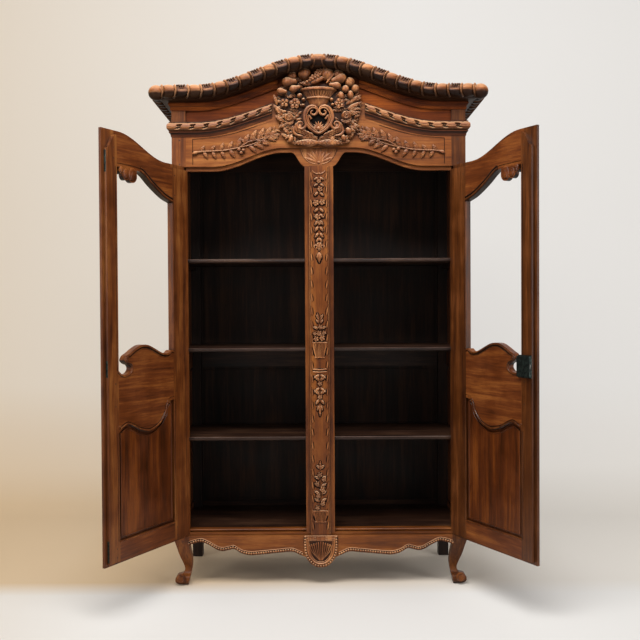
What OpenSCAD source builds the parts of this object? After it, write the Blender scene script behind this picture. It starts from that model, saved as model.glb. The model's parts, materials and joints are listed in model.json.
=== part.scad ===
// Tall two-door armoire with an arched cornice, built up from framed boards

/* [Case] */
// Width over the outer faces of the posts
case_w = 1400; // [1320:10:1560]
// Depth from the front plane to the back
case_d = 575; // [520:5:640]
// Width of a post, seen from the front and from the side
post_w = 67; // [64:1:72]
// Height of the line where the apron ends and the doors start
door_z = 241; // [225:1:260]
// Height of the door opening at its low outer ends
opening_h = 1746; // [1680:2:1800]
// Rise of the opening's wavy top edge from its ends to its crests
opening_rise = 89; // [75:1:100]
// Height of the drop that hangs from the frieze over the centre post
drop_h = 66; // [56:1:72]
// Height from the low ends of the opening to the rope moulding
frieze_h = 162; // [150:1:180]
// Thickness of the boards and rails of the case
board_t = 22; // [18:1:26]
// Thickness of the frieze and the apron
front_t = 34; // [30:1:38]

/* [Cornice] */
// Rise of the cornice from its ends to its middle
arch_rise = 140; // [110:1:155]
// Height of the rope moulding with its fillet
rope_h = 70; // [60:1:80]
// Height of the plain band between the rope and the bed moulding
band_h = 54; // [44:1:64]
// Height of the bed moulding
bed_h = 38; // [30:1:46]
// Height of the crown moulding
crown_h = 68; // [60:1:80]
// Reach of the crown moulding beyond the case
crown_out = 97; // [80:1:105]
// Reach of the rope moulding beyond the case
rope_out = 20; // [12:1:26]

/* [Doors] */
// Angle of the doors from closed, as they stand open
door_open = 117; // [0:1:150]
// Full thickness of a door frame
door_t = 28; // [26:1:30]
// Thickness of the outer layer, which laps over the case
lip_t = 12; // [10:1:14]
// Width that the outer layer laps over the frieze
lap_w = 18; // [15:1:20]
// Width of the rebate in a post behind the hinged edge
rebate_w = 22; // [20:1:24]
// Width of the stile on the hinge side
hinge_stile_w = 120; // [108:1:126]
// Width of the stile on the free side
lock_stile_w = 68; // [62:1:76]
// Height of the lower panel's bottom edge above the door's foot
bottom_rail_h = 101; // [90:1:115]
// Height of the scrolled rail's joint line above the door's foot
mid_rail_z = 742; // [700:1:790]
// Length of the tenons of the rails
tenon_l = 40; // [30:1:50]
// Thickness of the tenons of the rails
tenon_t = 9; // [7:0.5:10]
// Thickness of a panel at its edge, in the groove
tongue_t = 6; // [5:0.5:7]
// Depth of the grooves that hold the panels
groove_d = 9; // [7:0.5:11]

/* [Centre post and shelves] */
// Width of the centre post
centre_w = 137; // [130:1:144]
// Width of its carved field
field_w = 92; // [84:1:96]
// Height of the first shelf above the floor board
first_shelf_h = 442; // [400:2:480]
// Height from one shelf to the next
shelf_pitch = 430; // [400:2:460]
// Thickness of a shelf
shelf_t = 18; // [16:1:24]

/* [Hinges and lock] */
// Diameter of a hinge barrel
barrel_d = 13; // [12:0.5:14]
// Length of a hinge barrel with both halves
barrel_l = 150; // [120:2:170]
// Diameter of a hinge pin
pin_d = 6; // [5:0.5:7]
// Height of the lower hinges' middle above the doors' foot
low_hinge_h = 226; // [200:2:260]
// Depth of the upper hinges' middle below the low ends of the opening
high_hinge_h = 210; // [170:2:250]
// Width of the lock case
lock_w = 86; // [76:1:90]
// Height of the lock case
lock_h = 97; // [86:1:105]
// Thickness of the lock case
lock_t = 15; // [13:0.5:18]
// Height of the lock's middle above the doors' foot
lock_z = 840; // [820:1:860]
// Travel of the lock's bolt and the edge bolts
bolt_throw = 15; // [12:0.5:16]

/* [Hidden] */

// Clearances and small sizes
face_gap = 0.5;
edge_gap = 1.5;
run_gap = 0.05;
cut_over = 60;
seam = 0.3;

// Widths and planes of the case
half_w = case_w / 2;
inner_x = half_w - post_w;
hinge_x = inner_x + rebate_w;
barrel_r = barrel_d / 2;
hinge_y = -barrel_r - edge_gap;
lap_y = lip_t + face_gap;
stop_y = door_t + face_gap;
shelf_y = stop_y + lock_t + face_gap;
back_y = case_d - board_t;
rear_post_d = 55;
rear_y = case_d - rear_post_d;

// Heights of the case
side_top_z = door_z + opening_h;
crest_z = side_top_z + opening_rise;
drop_z = crest_z - drop_h;
rope_z = side_top_z + frieze_h;
band_z = rope_z + rope_h;
bed_z = band_z + band_h;
crown_z = bed_z + bed_h;
case_top_z = crown_z + crown_h * 0.6;
rope_rise = arch_rise * 0.91;

// Stations of the wavy edge and of the arch
shoulder_x = inner_x * 0.8;
crest_x = inner_x * 0.26;
neck_x = centre_w * 0.95;
centre_x = centre_w / 2;
field_x = field_w / 2;
arch_half = half_w * 0.83;
arch_steps = 24;
wave_steps = 16;
neck_steps = 8;
curve_steps = 5;
border_w = lap_w + edge_gap;
lip_gap = 9;

// Sill under the doors
fascia_h = 13;
nose_h = 13;
sill_y = shelf_y + board_t;
nose_z = door_z + fascia_h;
floor_z = nose_z + nose_h;
floor_t = 18;

// Door frame in its own plane, measured from the hinge axis
hinge_edge_s = edge_gap;
thick_s = hinge_x - centre_x - edge_gap;
lip_s = hinge_x - field_x - lip_gap;
hinge_stile_s = hinge_edge_s + hinge_stile_w;
lock_stile_s = thick_s - lock_stile_w;
span_s = lock_stile_s - hinge_stile_s;
door_foot_z = door_z + edge_gap;
thick_foot_z = nose_z + edge_gap;
panel_z = door_z + bottom_rail_h;
joint_z = door_z + mid_rail_z;
rail_mid_y = door_t / 2;
top_rail_h = 165;
scroll_h = 191;
scroll_drop = 198;
field_inset = 16;
field_y0 = 5;
bead_w = 4;
bead_d = 2.5;
peg_d = 8;

// 1 at t = 0, 0 at t = 1, with level ends
function ease(t) = 0.5 + 0.5 * cos(180 * min(max(t, 0), 1));

// Points of a soft step from one point to the next
function wave(x0, z0, x1, z1, n) =
    [for (i = [0 : n]) [x0 + (x1 - x0) * i / n, z1 + (z0 - z1) * ease(i / n)]];

// Smooth curve through a list of points
function knot(p, i) = p[min(max(i, 0), len(p) - 1)];
function blend(a, b, c, d, t) =
    (b * 2 + (c - a) * t + (a * 2 - b * 5 + c * 4 - d) * t * t + (b * 3 - a - c * 3 + d) * t * t * t) / 2;
function spline(p, n = curve_steps) = concat(
    [for (i = [0 : len(p) - 2], k = [0 : n - 1])
        blend(knot(p, i - 1), p[i], p[i + 1], knot(p, i + 2), k / n)],
    [p[len(p) - 1]]
);

function reversed(p) = [for (i = [len(p) - 1 : -1 : 0]) p[i]];
function flip(p) = [for (i = [len(p) - 1 : -1 : 0]) [-p[i][0], p[i][1]]];
function mirrored(p) = concat(p, flip(p));
function shifted(p, dx, dz) = [for (q = p) [q[0] + dx, q[1] + dz]];
function scaled(p, w, h) = [for (q = p) [q[0] * w, q[1] * h]];

// Height that the arch adds at a distance from the centre line
function arch(x, rise) = rise * ease(abs(x) / arch_half);

function arch_line(z, rise, reach) =
    [for (i = [0 : arch_steps])
        let (x = reach - 2 * reach * i / arch_steps)
        [x, z + arch(x, rise)]];

// Wavy line over a door, from the post to its crest
swell = wave(shoulder_x, side_top_z, crest_x, crest_z, wave_steps);

// Lower edge of the frieze from the post to the drop
half_low = concat([[inner_x, side_top_z]], swell, wave(neck_x, crest_z, centre_x, drop_z, neck_steps));

// Half outline of the fan in the drop, from its top corner to its foot, in shares of the
// drop's half width and of the height from its foot to the border over the doors
fan_shares = [[0.7, 1], [0.68, 0.86], [0.63, 0.63], [0.54, 0.41], [0.4, 0.22], [0.2, 0.1], [0, 0.06]];
fan_h = crest_z + border_w - drop_z;
fan_sink = 6;
fan_edge = [for (p = spline(fan_shares, 4)) [p[0] * neck_x, drop_z + p[1] * fan_h]];

module slab(y0, y1) {
    translate([0, y1, 0])
        rotate([90, 0, 0])
            linear_extrude(y1 - y0)
                children();
}

module along(x0, x1) {
    translate([x0, 0, 0])
        rotate([90, 0, 90])
            linear_extrude(x1 - x0)
                children();
}

module level(z0, z1) {
    translate([0, 0, z0])
        linear_extrude(z1 - z0)
            children();
}

module box(x0, x1, y0, y1, z0, z1) {
    translate([x0, y0, z0])
        cube([x1 - x0, y1 - y0, z1 - z0]);
}

// Draws the left piece, or its mirror image on the right
module sided(side) {
    if (side < 0)
        children();
    else
        mirror([1, 0, 0])
            children();
}

// Puts a piece drawn in the closed left door, s from the hinge axis, where the open door has it
module hang(side) {
    sided(side)
        translate([-hinge_x, hinge_y, 0])
            rotate([0, 0, -door_open])
                translate([0, -hinge_y, 0])
                    children();
}

// Closed skin over rings of equal length
module skin(rings) {
    n = len(rings[0]);
    last = len(rings) - 1;
    points = [for (r = rings, p = r) p];
    walls = [for (i = [0 : last - 1], j = [0 : n - 1])
        [i * n + j, i * n + (j + 1) % n, (i + 1) * n + (j + 1) % n, (i + 1) * n + j]];
    near_cap = [for (j = [n - 1 : -1 : 0]) j];
    far_cap = [for (j = [0 : n - 1]) last * n + j];
    polyhedron(points, concat(walls, [near_cap, far_cap]));
}

// Rings of a moulding profile: where it returns along a side, and where it arches over the front
function side_rings(profile, base_z, side) =
    [for (back = side < 0 ? [1, 0] : [0, 1])
        [for (p = profile)
            [side * (half_w + p[0]), back > 0 ? case_d : -p[0], base_z + p[1]]]];
function front_rings(profile, base_z, rise, x0, x1, n) =
    [for (i = [0 : n])
        let (x = x0 + (x1 - x0) * i / n)
        [for (p = profile) [x, -p[0], base_z + p[1] + arch(x, rise)]]];

// Moulding that runs round the whole cornice
module cornice_run(profile, base_z, rise) {
    skin(concat(
        side_rings(profile, base_z, -1),
        front_rings(profile, base_z, rise, -arch_half, arch_half, arch_steps),
        side_rings(profile, base_z, 1)
    ));
}

// Moulding in two lengths that stop against the basket
module cornice_lengths(profile, base_z, rise, end_x, n) {
    for (side = [-1, 1])
        sided(side)
            skin(concat(
                side_rings(profile, base_z, -1),
                front_rings(profile, base_z, rise, -arch_half, -end_x, n)
            ));
}

// Hinge heights, leaves and pins
low_hinge_z = door_z + low_hinge_h;
high_hinge_z = side_top_z - high_hinge_h;
joint_gap = 0.4;
half_l = (barrel_l - joint_gap) / 2;
leaf_in = edge_gap + 2;
leaf_t = 2.5;
leaf_y = door_t - 5;
pin_stop = 6;
ring_h = 2.5;
neck_share = 0.86;

// Tenons of the frieze and the apron in the posts
tenon_shoulder = 8;
tenon_root = 5;
post_tenon_t = 12;
frieze_tenon_z0 = side_top_z + border_w + tenon_shoulder / 2;
frieze_tenon_z1 = rope_z - tenon_shoulder;
apron_tenon_h = 42;
apron_tenon_z1 = door_z - tenon_shoulder;
apron_tenon_z0 = apron_tenon_z1 - apron_tenon_h;
tenon_in_y = lap_y;
tenon_out_y = lap_y + post_tenon_t;

// Leg outlines in shares of the post's width and of the door line's height
leg_outer = [[-0.045, 0.92], [0.12, 0.76], [0.28, 0.6], [0.52, 0.42], [0.63, 0.3], [0.49, 0.215],
    [0.1, 0.18], [0, 0.115], [0.08, 0.05], [0.31, 0]];
leg_inner = [[0.9, 0], [1.03, 0.17], [1.16, 0.39], [1.12, 0.57], [1.03, 0.71], [1, 0.79], [1, 1]];
leg_reach = post_w * 1.25;

// Lower edge of the apron, outer end first, in shares of its half width and of its drop
apron_shares = [[1, 0.3], [0.97, 0.25], [0.904, 0.2], [0.844, 0.3], [0.782, 0.445], [0.739, 0.48],
    [0.692, 0.44], [0.657, 0.42], [0.6, 0.555], [0.539, 0.613], [0.487, 0.606], [0.401, 0.574],
    [0.3, 0.535], [0.216, 0.516], [0.152, 0.62], [0.08, 0.72], [0, 0.74]];
apron_drop = door_z * 0.64;

// Half outline of the shield, top first, in shares of its half width and of the apron's drop
shield_shares = [[1, 0.02], [1.02, 0.3], [0.97, 0.55], [0.85, 0.72], [0.6, 0.88], [0.3, 0.98], [0, 1]];
shield_w = centre_w * 0.58;
shield_t = 9;
shield_rim = 9;

module leg_outline() {
    polygon(concat(
        [[0, door_z]],
        scaled(spline(leg_outer), post_w, door_z),
        scaled(spline(leg_inner), post_w, door_z)
    ));
}

// Cabriole leg, sawn to the same outline from the front and from the side
module leg() {
    intersection() {
        translate([-half_w, 0, 0])
            slab(-cut_over, leg_reach)
                leg_outline();
        along(-half_w - cut_over, -half_w + leg_reach)
            leg_outline();
    }
}

module post_leaf(mid_z) {
    box(-hinge_x - leaf_in - leaf_t, -hinge_x - leaf_in, hinge_y, leaf_y,
        mid_z - half_l + ring_h * 2, mid_z - ring_h * 2);
}

module door_leaf(mid_z) {
    box(leaf_in, leaf_in + leaf_t, hinge_y, leaf_y,
        mid_z + ring_h * 2, mid_z + half_l - ring_h * 2);
}

module frieze_tenon() {
    box(-inner_x - tenon_l, -inner_x + tenon_root, tenon_in_y, tenon_out_y,
        frieze_tenon_z0, frieze_tenon_z1);
}

module apron_tenon() {
    box(-inner_x - tenon_l, -inner_x + tenon_root, tenon_in_y, tenon_out_y,
        apron_tenon_z0, apron_tenon_z1);
}

// Pegs that pin the two tenons in a front post
module post_pegs(over) {
    for (z = [frieze_tenon_z0 + peg_d, frieze_tenon_z1 - peg_d, (apron_tenon_z0 + apron_tenon_z1) / 2])
        translate([-inner_x - tenon_l * 0.75, 0, z])
            rotate([-90, 0, 0])
                translate([0, 0, -over])
                    cylinder(d = peg_d, h = tenon_out_y + peg_d + over, $fn = 32);
}

module front_post(side) {
    color("#7d5b3c")
        sided(side)
            difference() {
                union() {
                    leg();
                    box(-half_w, -inner_x, 0, post_w, door_z - seam, case_top_z);
                }
                box(-hinge_x, -inner_x + cut_over, -cut_over, stop_y, door_z, side_top_z + border_w);
                for (z = [low_hinge_z, high_hinge_z])
                    post_leaf(z);
                frieze_tenon();
                apron_tenon();
                post_pegs(cut_over);
                for (i = [0, 1])
                    side_sheet(i);
            }
}

module rear_post(side) {
    foot_in = post_w * 0.22;
    foot_top = door_z * 0.78;
    color("#5f3f28")
        sided(side)
            difference() {
                slab(rear_y, case_d)
                    polygon([[-inner_x, 0], [-half_w + foot_in, 0], [-half_w + foot_in, foot_top - foot_in],
                        [-half_w, foot_top], [-half_w, case_top_z], [-inner_x, case_top_z]]);
                for (i = [0, 1]) {
                    side_sheet(i);
                    back_sheet(i);
                }
            }
}

// Sunk field on each half of the frieze, one margin inside its edges
frieze_margin = 12;
frieze_x = inner_x * 0.95;
frieze_sink = 1.5;
frieze_steps = 12;

module frieze_field() {
    low = [for (p = concat([[frieze_x, side_top_z]], swell))
        if (p[0] > basket_w) [p[0], p[1] + border_w + frieze_margin]];
    top = [for (i = [0 : frieze_steps])
        let (x = basket_w + (frieze_x - basket_w) * i / frieze_steps)
        [x, rope_z - frieze_margin + arch(x, rope_rise)]];
    slab(-cut_over, frieze_sink)
        polygon(concat(low, top));
}

module frieze_board() {
    color("#935c3d") {
        difference() {
            union() {
                slab(lap_y, front_t)
                    polygon(concat(mirrored(half_low), reversed(arch_line(band_z, rope_rise, inner_x))));
                slab(0, lap_y + seam)
                    polygon(concat(
                        mirrored(shifted(concat([[inner_x, side_top_z]], swell), 0, border_w)),
                        reversed(arch_line(band_z, rope_rise, inner_x))
                    ));
                for (side = [-1, 1])
                    sided(side)
                        frieze_tenon();
            }
            for (side = [-1, 1])
                sided(side) {
                    post_pegs(cut_over);
                    mirror([1, 0, 0])
                        frieze_field();
                }
            slab(lap_y - cut_over, lap_y + fan_sink)
                polygon(mirrored(fan_edge));
            top_bolt_hole();
        }
    }
}

module cornice_board() {
    sink = 8;
    low_line = arch_line(band_z, rope_rise, inner_x);
    bed_line = arch_line(bed_z, arch_rise, inner_x);
    head_line = arch_line(crown_z + crown_h * 0.85, arch_rise, inner_x);
    color("#4a2918") {
        slab(sink, front_t)
            polygon(concat(low_line, reversed(head_line)));
        slab(0, sink + seam)
            polygon(concat(bed_line, reversed(head_line)));
    }
}

// Profiles of the mouldings: reach, then height
crown_profile = scaled([[0, 0], [0.14, 0], [0.42, 0.1], [0.74, 0.22], [0.9, 0.36], [1, 0.55], [0.98, 0.74],
    [0.9, 0.9], [0.76, 1], [0, 1]], crown_out, crown_h);
bed_profile = scaled([[0, 0], [0.3, 0], [0.45, 0.12], [0.35, 0.26], [0.6, 0.32], [0.75, 0.45], [0.7, 0.6],
    [1, 0.68], [1, 1], [0, 1]], crown_out * 0.145, bed_h);
rope_profile = scaled([[0, 0], [0.4, 0.02], [0.45, 0.3], [0.75, 0.36], [0.96, 0.5], [1, 0.68], [0.96, 0.84],
    [0.75, 0.97], [0.3, 1], [0, 1]], rope_out, rope_h);

module crown_moulding() {
    color("#8a4f2a")
        cornice_run(crown_profile, crown_z, arch_rise);
}

module bed_moulding() {
    color("#6a3a1f")
        cornice_lengths(bed_profile, bed_z, arch_rise, arch_half / 3, arch_steps / 3);
}

module rope_moulding() {
    color("#8f5a36")
        cornice_lengths(rope_profile, rope_z, rope_rise, basket_w * 1.02, arch_steps);
}

module top_board() {
    front = [[inner_x, 0], [half_w, 0], [half_w, case_d], [0, case_d]];
    half = concat([[0, front_t], [inner_x, front_t]], front);
    color("#5a3a24")
        level(case_top_z, case_top_z + board_t * 0.8)
            polygon(concat(half, flip(half)));
}

// Fan of leaves let into the drop, its tops below the face that the door lips cover
module drop_fan() {
    leaf_r = fan_h * 0.15;
    foot = [0, lap_y + fan_sink, drop_z + fan_h * 0.24];
    color("#8b5735") {
        slab(lap_y + fan_sink / 2, lap_y + fan_sink)
            polygon(mirrored(fan_edge));
        intersection() {
            union() {
                for (a = [-66 : 22 : 66])
                    translate(foot)
                        rotate([0, a, 0])
                            cylinder(r1 = leaf_r * 0.3, r2 = leaf_r, h = fan_h * 1.2, $fn = 24);
                translate(foot)
                    sphere(r = leaf_r * 0.9, $fn = 24);
            }
            slab(lap_y + seam, lap_y + fan_sink * 0.6)
                polygon(mirrored(fan_edge));
        }
    }
}

// Half outline of the basket group, in shares of its half width and height, from its top down
basket_shares = [[0, 1], [0.25, 0.985], [0.46, 0.955], [0.68, 0.9], [0.85, 0.8], [1, 0.61], [0.98, 0.45],
    [0.85, 0.3], [0.7, 0.15], [0.57, 0.02], [0.3, 0], [0, 0]];
basket_w = inner_x * 0.34;
basket_z = crest_z + border_w;
basket_h = crown_z + arch_rise - edge_gap - basket_z;

// Basket of fruit and flowers, its bowl set back so that it stands out by less than its radius
module basket_carving() {
    back_t = basket_w * 0.05;
    fruit_r = basket_w * 0.11;
    bowl_w = basket_w * 0.42;
    bowl_z = basket_z + basket_h * 0.27;
    bowl_h = basket_h * 0.24;
    half = scaled(spline(basket_shares, 3), basket_w, basket_h);
    fruit = [[-0.26, 0.62], [0, 0.6], [0.26, 0.62], [-0.13, 0.755], [0.13, 0.755], [-0.4, 0.78], [0.4, 0.78],
        [0, 0.895], [-0.66, 0.62], [0.66, 0.62], [-0.62, 0.36], [0.62, 0.36], [-0.24, 0.14], [0.24, 0.14]];
    color("#8b5735") {
        slab(-back_t, 0)
            polygon(shifted(concat(half, reversed([for (p = half) [-p[0], p[1]]])), 0, basket_z));
        intersection() {
            translate([0, bowl_w * 0.45, bowl_z])
                rotate_extrude($fn = 48)
                    polygon([[0, 0], [bowl_w * 0.55, 0], [bowl_w * 0.62, bowl_h * 0.1],
                        [bowl_w * 0.85, bowl_h * 0.5], [bowl_w, bowl_h * 0.85], [bowl_w * 1.06, bowl_h],
                        [0, bowl_h]]);
            box(-basket_w, basket_w, -basket_w, -back_t / 2, basket_z, basket_z + basket_h);
        }
        for (f = fruit)
            translate([f[0] * basket_w, -fruit_r * 1.05, basket_z + f[1] * basket_h])
                sphere(r = fruit_r, $fn = 32);
    }
}

module apron() {
    edge = [for (p = spline(apron_shares)) [p[0] * inner_x, door_z - p[1] * apron_drop]];
    line = shifted(edge, 0, bead_w * 2.5);
    half = concat([[inner_x, door_z]], edge);
    color("#7f4a21")
        difference() {
            union() {
                slab(0, front_t)
                    polygon(mirrored(half));
                for (side = [-1, 1])
                    sided(side)
                        apron_tenon();
            }
            for (side = [-1, 1])
                sided(side)
                    post_pegs(cut_over);
            slab(-cut_over, bead_d)
                polygon(concat(mirrored(line), reversed(mirrored(shifted(line, 0, bead_w)))));
        }
}

// Carved shield on the middle of the apron, with a raised rim and reeds
module apron_shield() {
    outer = [for (p = spline(shield_shares, 4)) [p[0] * shield_w, door_z - p[1] * apron_drop]];
    inner = [for (p = outer) [p[0] * (1 - shield_rim / shield_w), door_z + (p[1] - door_z) * 0.93 - shield_rim / 2]];
    reed_r = shield_w * 0.1;
    color("#84502a")
        difference() {
            slab(-shield_t, 0)
                polygon(mirrored(outer));
            difference() {
                slab(-shield_t - cut_over, -shield_t * 0.5)
                    polygon(mirrored(inner));
                for (i = [-3 : 3])
                    translate([i * reed_r * 2.1, -shield_t * 0.5, door_z - apron_drop])
                        cylinder(r = reed_r, h = apron_drop, $fn = 24);
            }
        }
}

// Fascia and rounded nose under the doors
module door_sill() {
    color("#5f3b22")
        difference() {
            along(-inner_x, inner_x)
                polygon(concat(
                    [[lap_y, door_z], [sill_y, door_z], [sill_y, floor_z]],
                    [for (a = [90 : 15 : 270])
                        [stop_y + nose_h / 2 + nose_h / 2 * cos(a), nose_z + nose_h / 2 + nose_h / 2 * sin(a)]],
                    [[lap_y, nose_z]]
                ));
            sill_bolt_hole();
        }
}

module centre_post() {
    color("#774424")
        difference() {
            union() {
                box(-centre_x, centre_x, stop_y - seam, shelf_y, floor_z, drop_z);
                box(-centre_x, centre_x, lap_y, stop_y, nose_z, drop_z);
                box(-field_x, field_x, 0, lap_y, door_z + edge_gap, drop_z);
                box(-field_x, field_x, 0, stop_y, floor_z, drop_z);
            }
            lock_mortise();
        }
}

// Outline of a board that fits round the four posts
module inner_plan(front_y) {
    half = [[inner_x, front_y], [inner_x, post_w], [half_w - board_t, post_w], [half_w - board_t, rear_y],
        [inner_x, rear_y], [inner_x, back_y]];
    polygon(concat(half, flip(half)));
}

module bottom_board() {
    color("#4d3323")
        level(floor_z - floor_t, floor_z)
            inner_plan(sill_y);
}

function shelf_z(i) = floor_z + first_shelf_h - shelf_t + i * shelf_pitch;

module shelf(i) {
    color("#5d4434")
        union() {
            level(shelf_z(i), shelf_z(i) + shelf_t)
                inner_plan(shelf_y + shelf_t / 2);
            translate([-inner_x, shelf_y + shelf_t / 2, shelf_z(i) + shelf_t / 2])
                rotate([0, 90, 0])
                    cylinder(d = shelf_t, h = inner_x * 2, $fn = 32);
        }
}

module shelf_1() {
    shelf(0);
}

module shelf_2() {
    shelf(1);
}

module shelf_3() {
    shelf(2);
}

module shelf_cleats(side) {
    cleat = board_t * 0.9;
    color("#4d3323")
        sided(side)
            for (z = concat([floor_z - floor_t], [for (i = [0 : 2]) shelf_z(i)]))
                box(-half_w + board_t, -half_w + board_t + cleat, post_w, rear_y, z - cleat, z);
}

// Frames and panels of the sides and the back
side_mid_z = door_z + opening_h * 0.47;
side_rail_h = 90;
side_rails_z = [
    [door_z * 0.81, floor_z + side_rail_h * 0.3],
    [side_mid_z - side_rail_h / 2, side_mid_z + side_rail_h / 2],
    [rope_z - side_rail_h, case_top_z]
];
muntin_w = 80;
panel_relief = 3;

module side_sheet(i) {
    box(-half_w + board_t / 2 - tongue_t / 2, -half_w + board_t / 2 + tongue_t / 2,
        post_w - groove_d, rear_y + groove_d,
        side_rails_z[i][1] - groove_d, side_rails_z[i + 1][0] + groove_d);
}

module side_rails(side) {
    color("#6f4325")
        sided(side)
            difference() {
                for (r = side_rails_z)
                    box(-half_w, -half_w + board_t, post_w, rear_y, r[0], r[1]);
                for (i = [0, 1])
                    side_sheet(i);
            }
}

module side_panels(side) {
    color("#643a1f")
        sided(side)
            for (i = [0, 1]) {
                side_sheet(i);
                box(-half_w + panel_relief, -half_w + board_t - panel_relief,
                    post_w + field_inset, rear_y - field_inset,
                    side_rails_z[i][1] + field_inset, side_rails_z[i + 1][0] - field_inset);
            }
}

module back_sheet(i) {
    box(-inner_x - groove_d, -muntin_w / 2 + groove_d,
        back_y + board_t / 2 - tongue_t / 2, back_y + board_t / 2 + tongue_t / 2,
        side_rails_z[i][1] - groove_d, side_rails_z[i + 1][0] + groove_d);
}

module back_sheets() {
    for (side = [-1, 1], i = [0, 1])
        sided(side)
            back_sheet(i);
}

module back_rails() {
    color("#4b3222")
        difference() {
            union() {
                for (i = [0, 2])
                    box(-inner_x, inner_x, back_y, case_d, side_rails_z[i][0], side_rails_z[i][1]);
                for (side = [-1, 1])
                    sided(side)
                        box(-inner_x, -muntin_w / 2, back_y, case_d, side_rails_z[1][0], side_rails_z[1][1]);
            }
            back_sheets();
        }
}

module back_muntin() {
    color("#4b3222")
        difference() {
            box(-muntin_w / 2, muntin_w / 2, back_y, case_d, side_rails_z[0][1], side_rails_z[2][0]);
            back_sheets();
        }
}

module back_panels() {
    color("#3f2a1d")
        for (side = [-1, 1], i = [0, 1])
            sided(side) {
                back_sheet(i);
                box(-inner_x + field_inset, -muntin_w / 2 - field_inset,
                    back_y + panel_relief, case_d - panel_relief,
                    side_rails_z[i][1] + field_inset, side_rails_z[i + 1][0] - field_inset);
            }
}

// Curves of the door rails along the span between the stiles, in shares of span and height
top_rail_shares = [[0, 1], [0.144, 0.903], [0.275, 0.758], [0.404, 0.588], [0.53, 0.394], [0.634, 0.303],
    [0.8, 0.285], [1, 0.285]];
scroll_shares = [[0, 0.81], [0.05, 0.83], [0.11, 0.765], [0.22, 0.785], [0.353, 0.895], [0.482, 0.99],
    [0.61, 1], [0.715, 0.927], [0.803, 0.838], [0.871, 0.775], [0.905, 0.68], [0.86, 0.6], [0.8, 0.555],
    [0.785, 0.46], [0.83, 0.377], [0.9, 0.356], [0.955, 0.387], [1, 0.46]];
hanging_shares = [[0, 0.36], [0.08, 0.38], [0.13, 0.5], [0.16, 0.66], [0.268, 0.869], [0.45, 1],
    [0.629, 0.94], [0.753, 0.833], [0.856, 0.763], [0.957, 0.84], [1, 0.9]];

function over_span(shares, z, h) =
    [for (p = spline(shares)) [hinge_stile_s + p[0] * span_s, z + p[1] * h]];

top_curve = over_span(top_rail_shares, side_top_z, -top_rail_h);
scroll_curve = over_span(scroll_shares, joint_z, scroll_h);
hanging_curve = over_span(hanging_shares, joint_z, -scroll_drop);

// Heights of the tenons at the hinge side and at the free side of each rail
top_tenons = [
    [side_top_z - top_rail_h * 0.85, side_top_z - top_rail_h * 0.15],
    [side_top_z - top_rail_h * 0.16, crest_z - top_rail_h * 0.28]
];
scroll_tenons = [
    [joint_z + tenon_shoulder, joint_z + scroll_h * 0.58],
    [joint_z + tenon_shoulder, joint_z + scroll_h * 0.3]
];
hanging_tenons = [
    [joint_z - scroll_drop * 0.3, joint_z - tenon_shoulder],
    [joint_z - scroll_drop * 0.6, joint_z - tenon_shoulder]
];
foot_tenon = [thick_foot_z + tenon_shoulder, panel_z - groove_d - tenon_shoulder];
bottom_tenons = [foot_tenon, foot_tenon];

module tenon_pair(zs) {
    y0 = rail_mid_y - tenon_t / 2;
    y1 = rail_mid_y + tenon_t / 2;
    box(hinge_stile_s - tenon_l, hinge_stile_s + tenon_root, y0, y1, zs[0][0], zs[0][1]);
    box(lock_stile_s - tenon_root, lock_stile_s + tenon_l, y0, y1, zs[1][0], zs[1][1]);
}

module door_tenons() {
    tenon_pair(top_tenons);
    tenon_pair(scroll_tenons);
    tenon_pair(hanging_tenons);
    tenon_pair(bottom_tenons);
}

// Pegs through the stiles and the tenons of a door
module peg_row(over) {
    for (zs = [top_tenons, bottom_tenons], k = [0, 1], end = [0, 1])
        translate([k == 0 ? hinge_stile_s - tenon_l / 2 : lock_stile_s + tenon_l / 2, -over,
            end == 0 ? zs[k][0] + peg_d * 1.5 : zs[k][1] - peg_d * 1.5])
            rotate([-90, 0, 0])
                cylinder(d = peg_d, h = door_t + 2 * over, $fn = 32);
    for (zs = [scroll_tenons, hanging_tenons], k = [0, 1])
        translate([k == 0 ? hinge_stile_s - tenon_l / 2 : lock_stile_s + tenon_l / 2, -over,
            (zs[k][0] + zs[k][1]) / 2])
            rotate([-90, 0, 0])
                cylinder(d = peg_d, h = door_t + 2 * over, $fn = 32);
}

// Outline under the scrolled rail, grown to the sides and foot, with its curve moved up
module panel_outline(grow, up) {
    top = shifted(hanging_curve, 0, up);
    polygon(concat(
        [[hinge_stile_s - grow, panel_z - grow], [lock_stile_s + grow, panel_z - grow],
            [lock_stile_s + grow, top[len(top) - 1][1]]],
        reversed(top),
        [[hinge_stile_s - grow, top[0][1]]]
    ));
}

module panel_sheet() {
    slab(rail_mid_y - tongue_t / 2, rail_mid_y + tongue_t / 2)
        panel_outline(groove_d, groove_d);
}

module lip_outline() {
    swell_s = [for (p = swell) [hinge_x - p[0], p[1] + lap_w]];
    polygon(concat(
        [[hinge_edge_s, door_foot_z], [hinge_edge_s, side_top_z + lap_w]],
        swell_s,
        [[lip_s, crest_z + lap_w], [lip_s, door_foot_z]]
    ));
}

module thick_outline() {
    low_s = [for (p = half_low) [hinge_x - p[0] - edge_gap, p[1] - edge_gap]];
    polygon(concat(
        [[hinge_edge_s, thick_foot_z], [hinge_edge_s, side_top_z - edge_gap]],
        low_s,
        [[thick_s, thick_foot_z]]
    ));
}

// Whole door leaf before it is divided into its members
module door_blank() {
    slab(0, lip_t)
        lip_outline();
    slab(lip_t - seam, door_t)
        thick_outline();
}

module bead_line(curve, up) {
    slab(door_t - bead_d, door_t + cut_over)
        polygon(concat(shifted(curve, 0, up), reversed(shifted(curve, 0, up + bead_w))));
}

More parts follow.
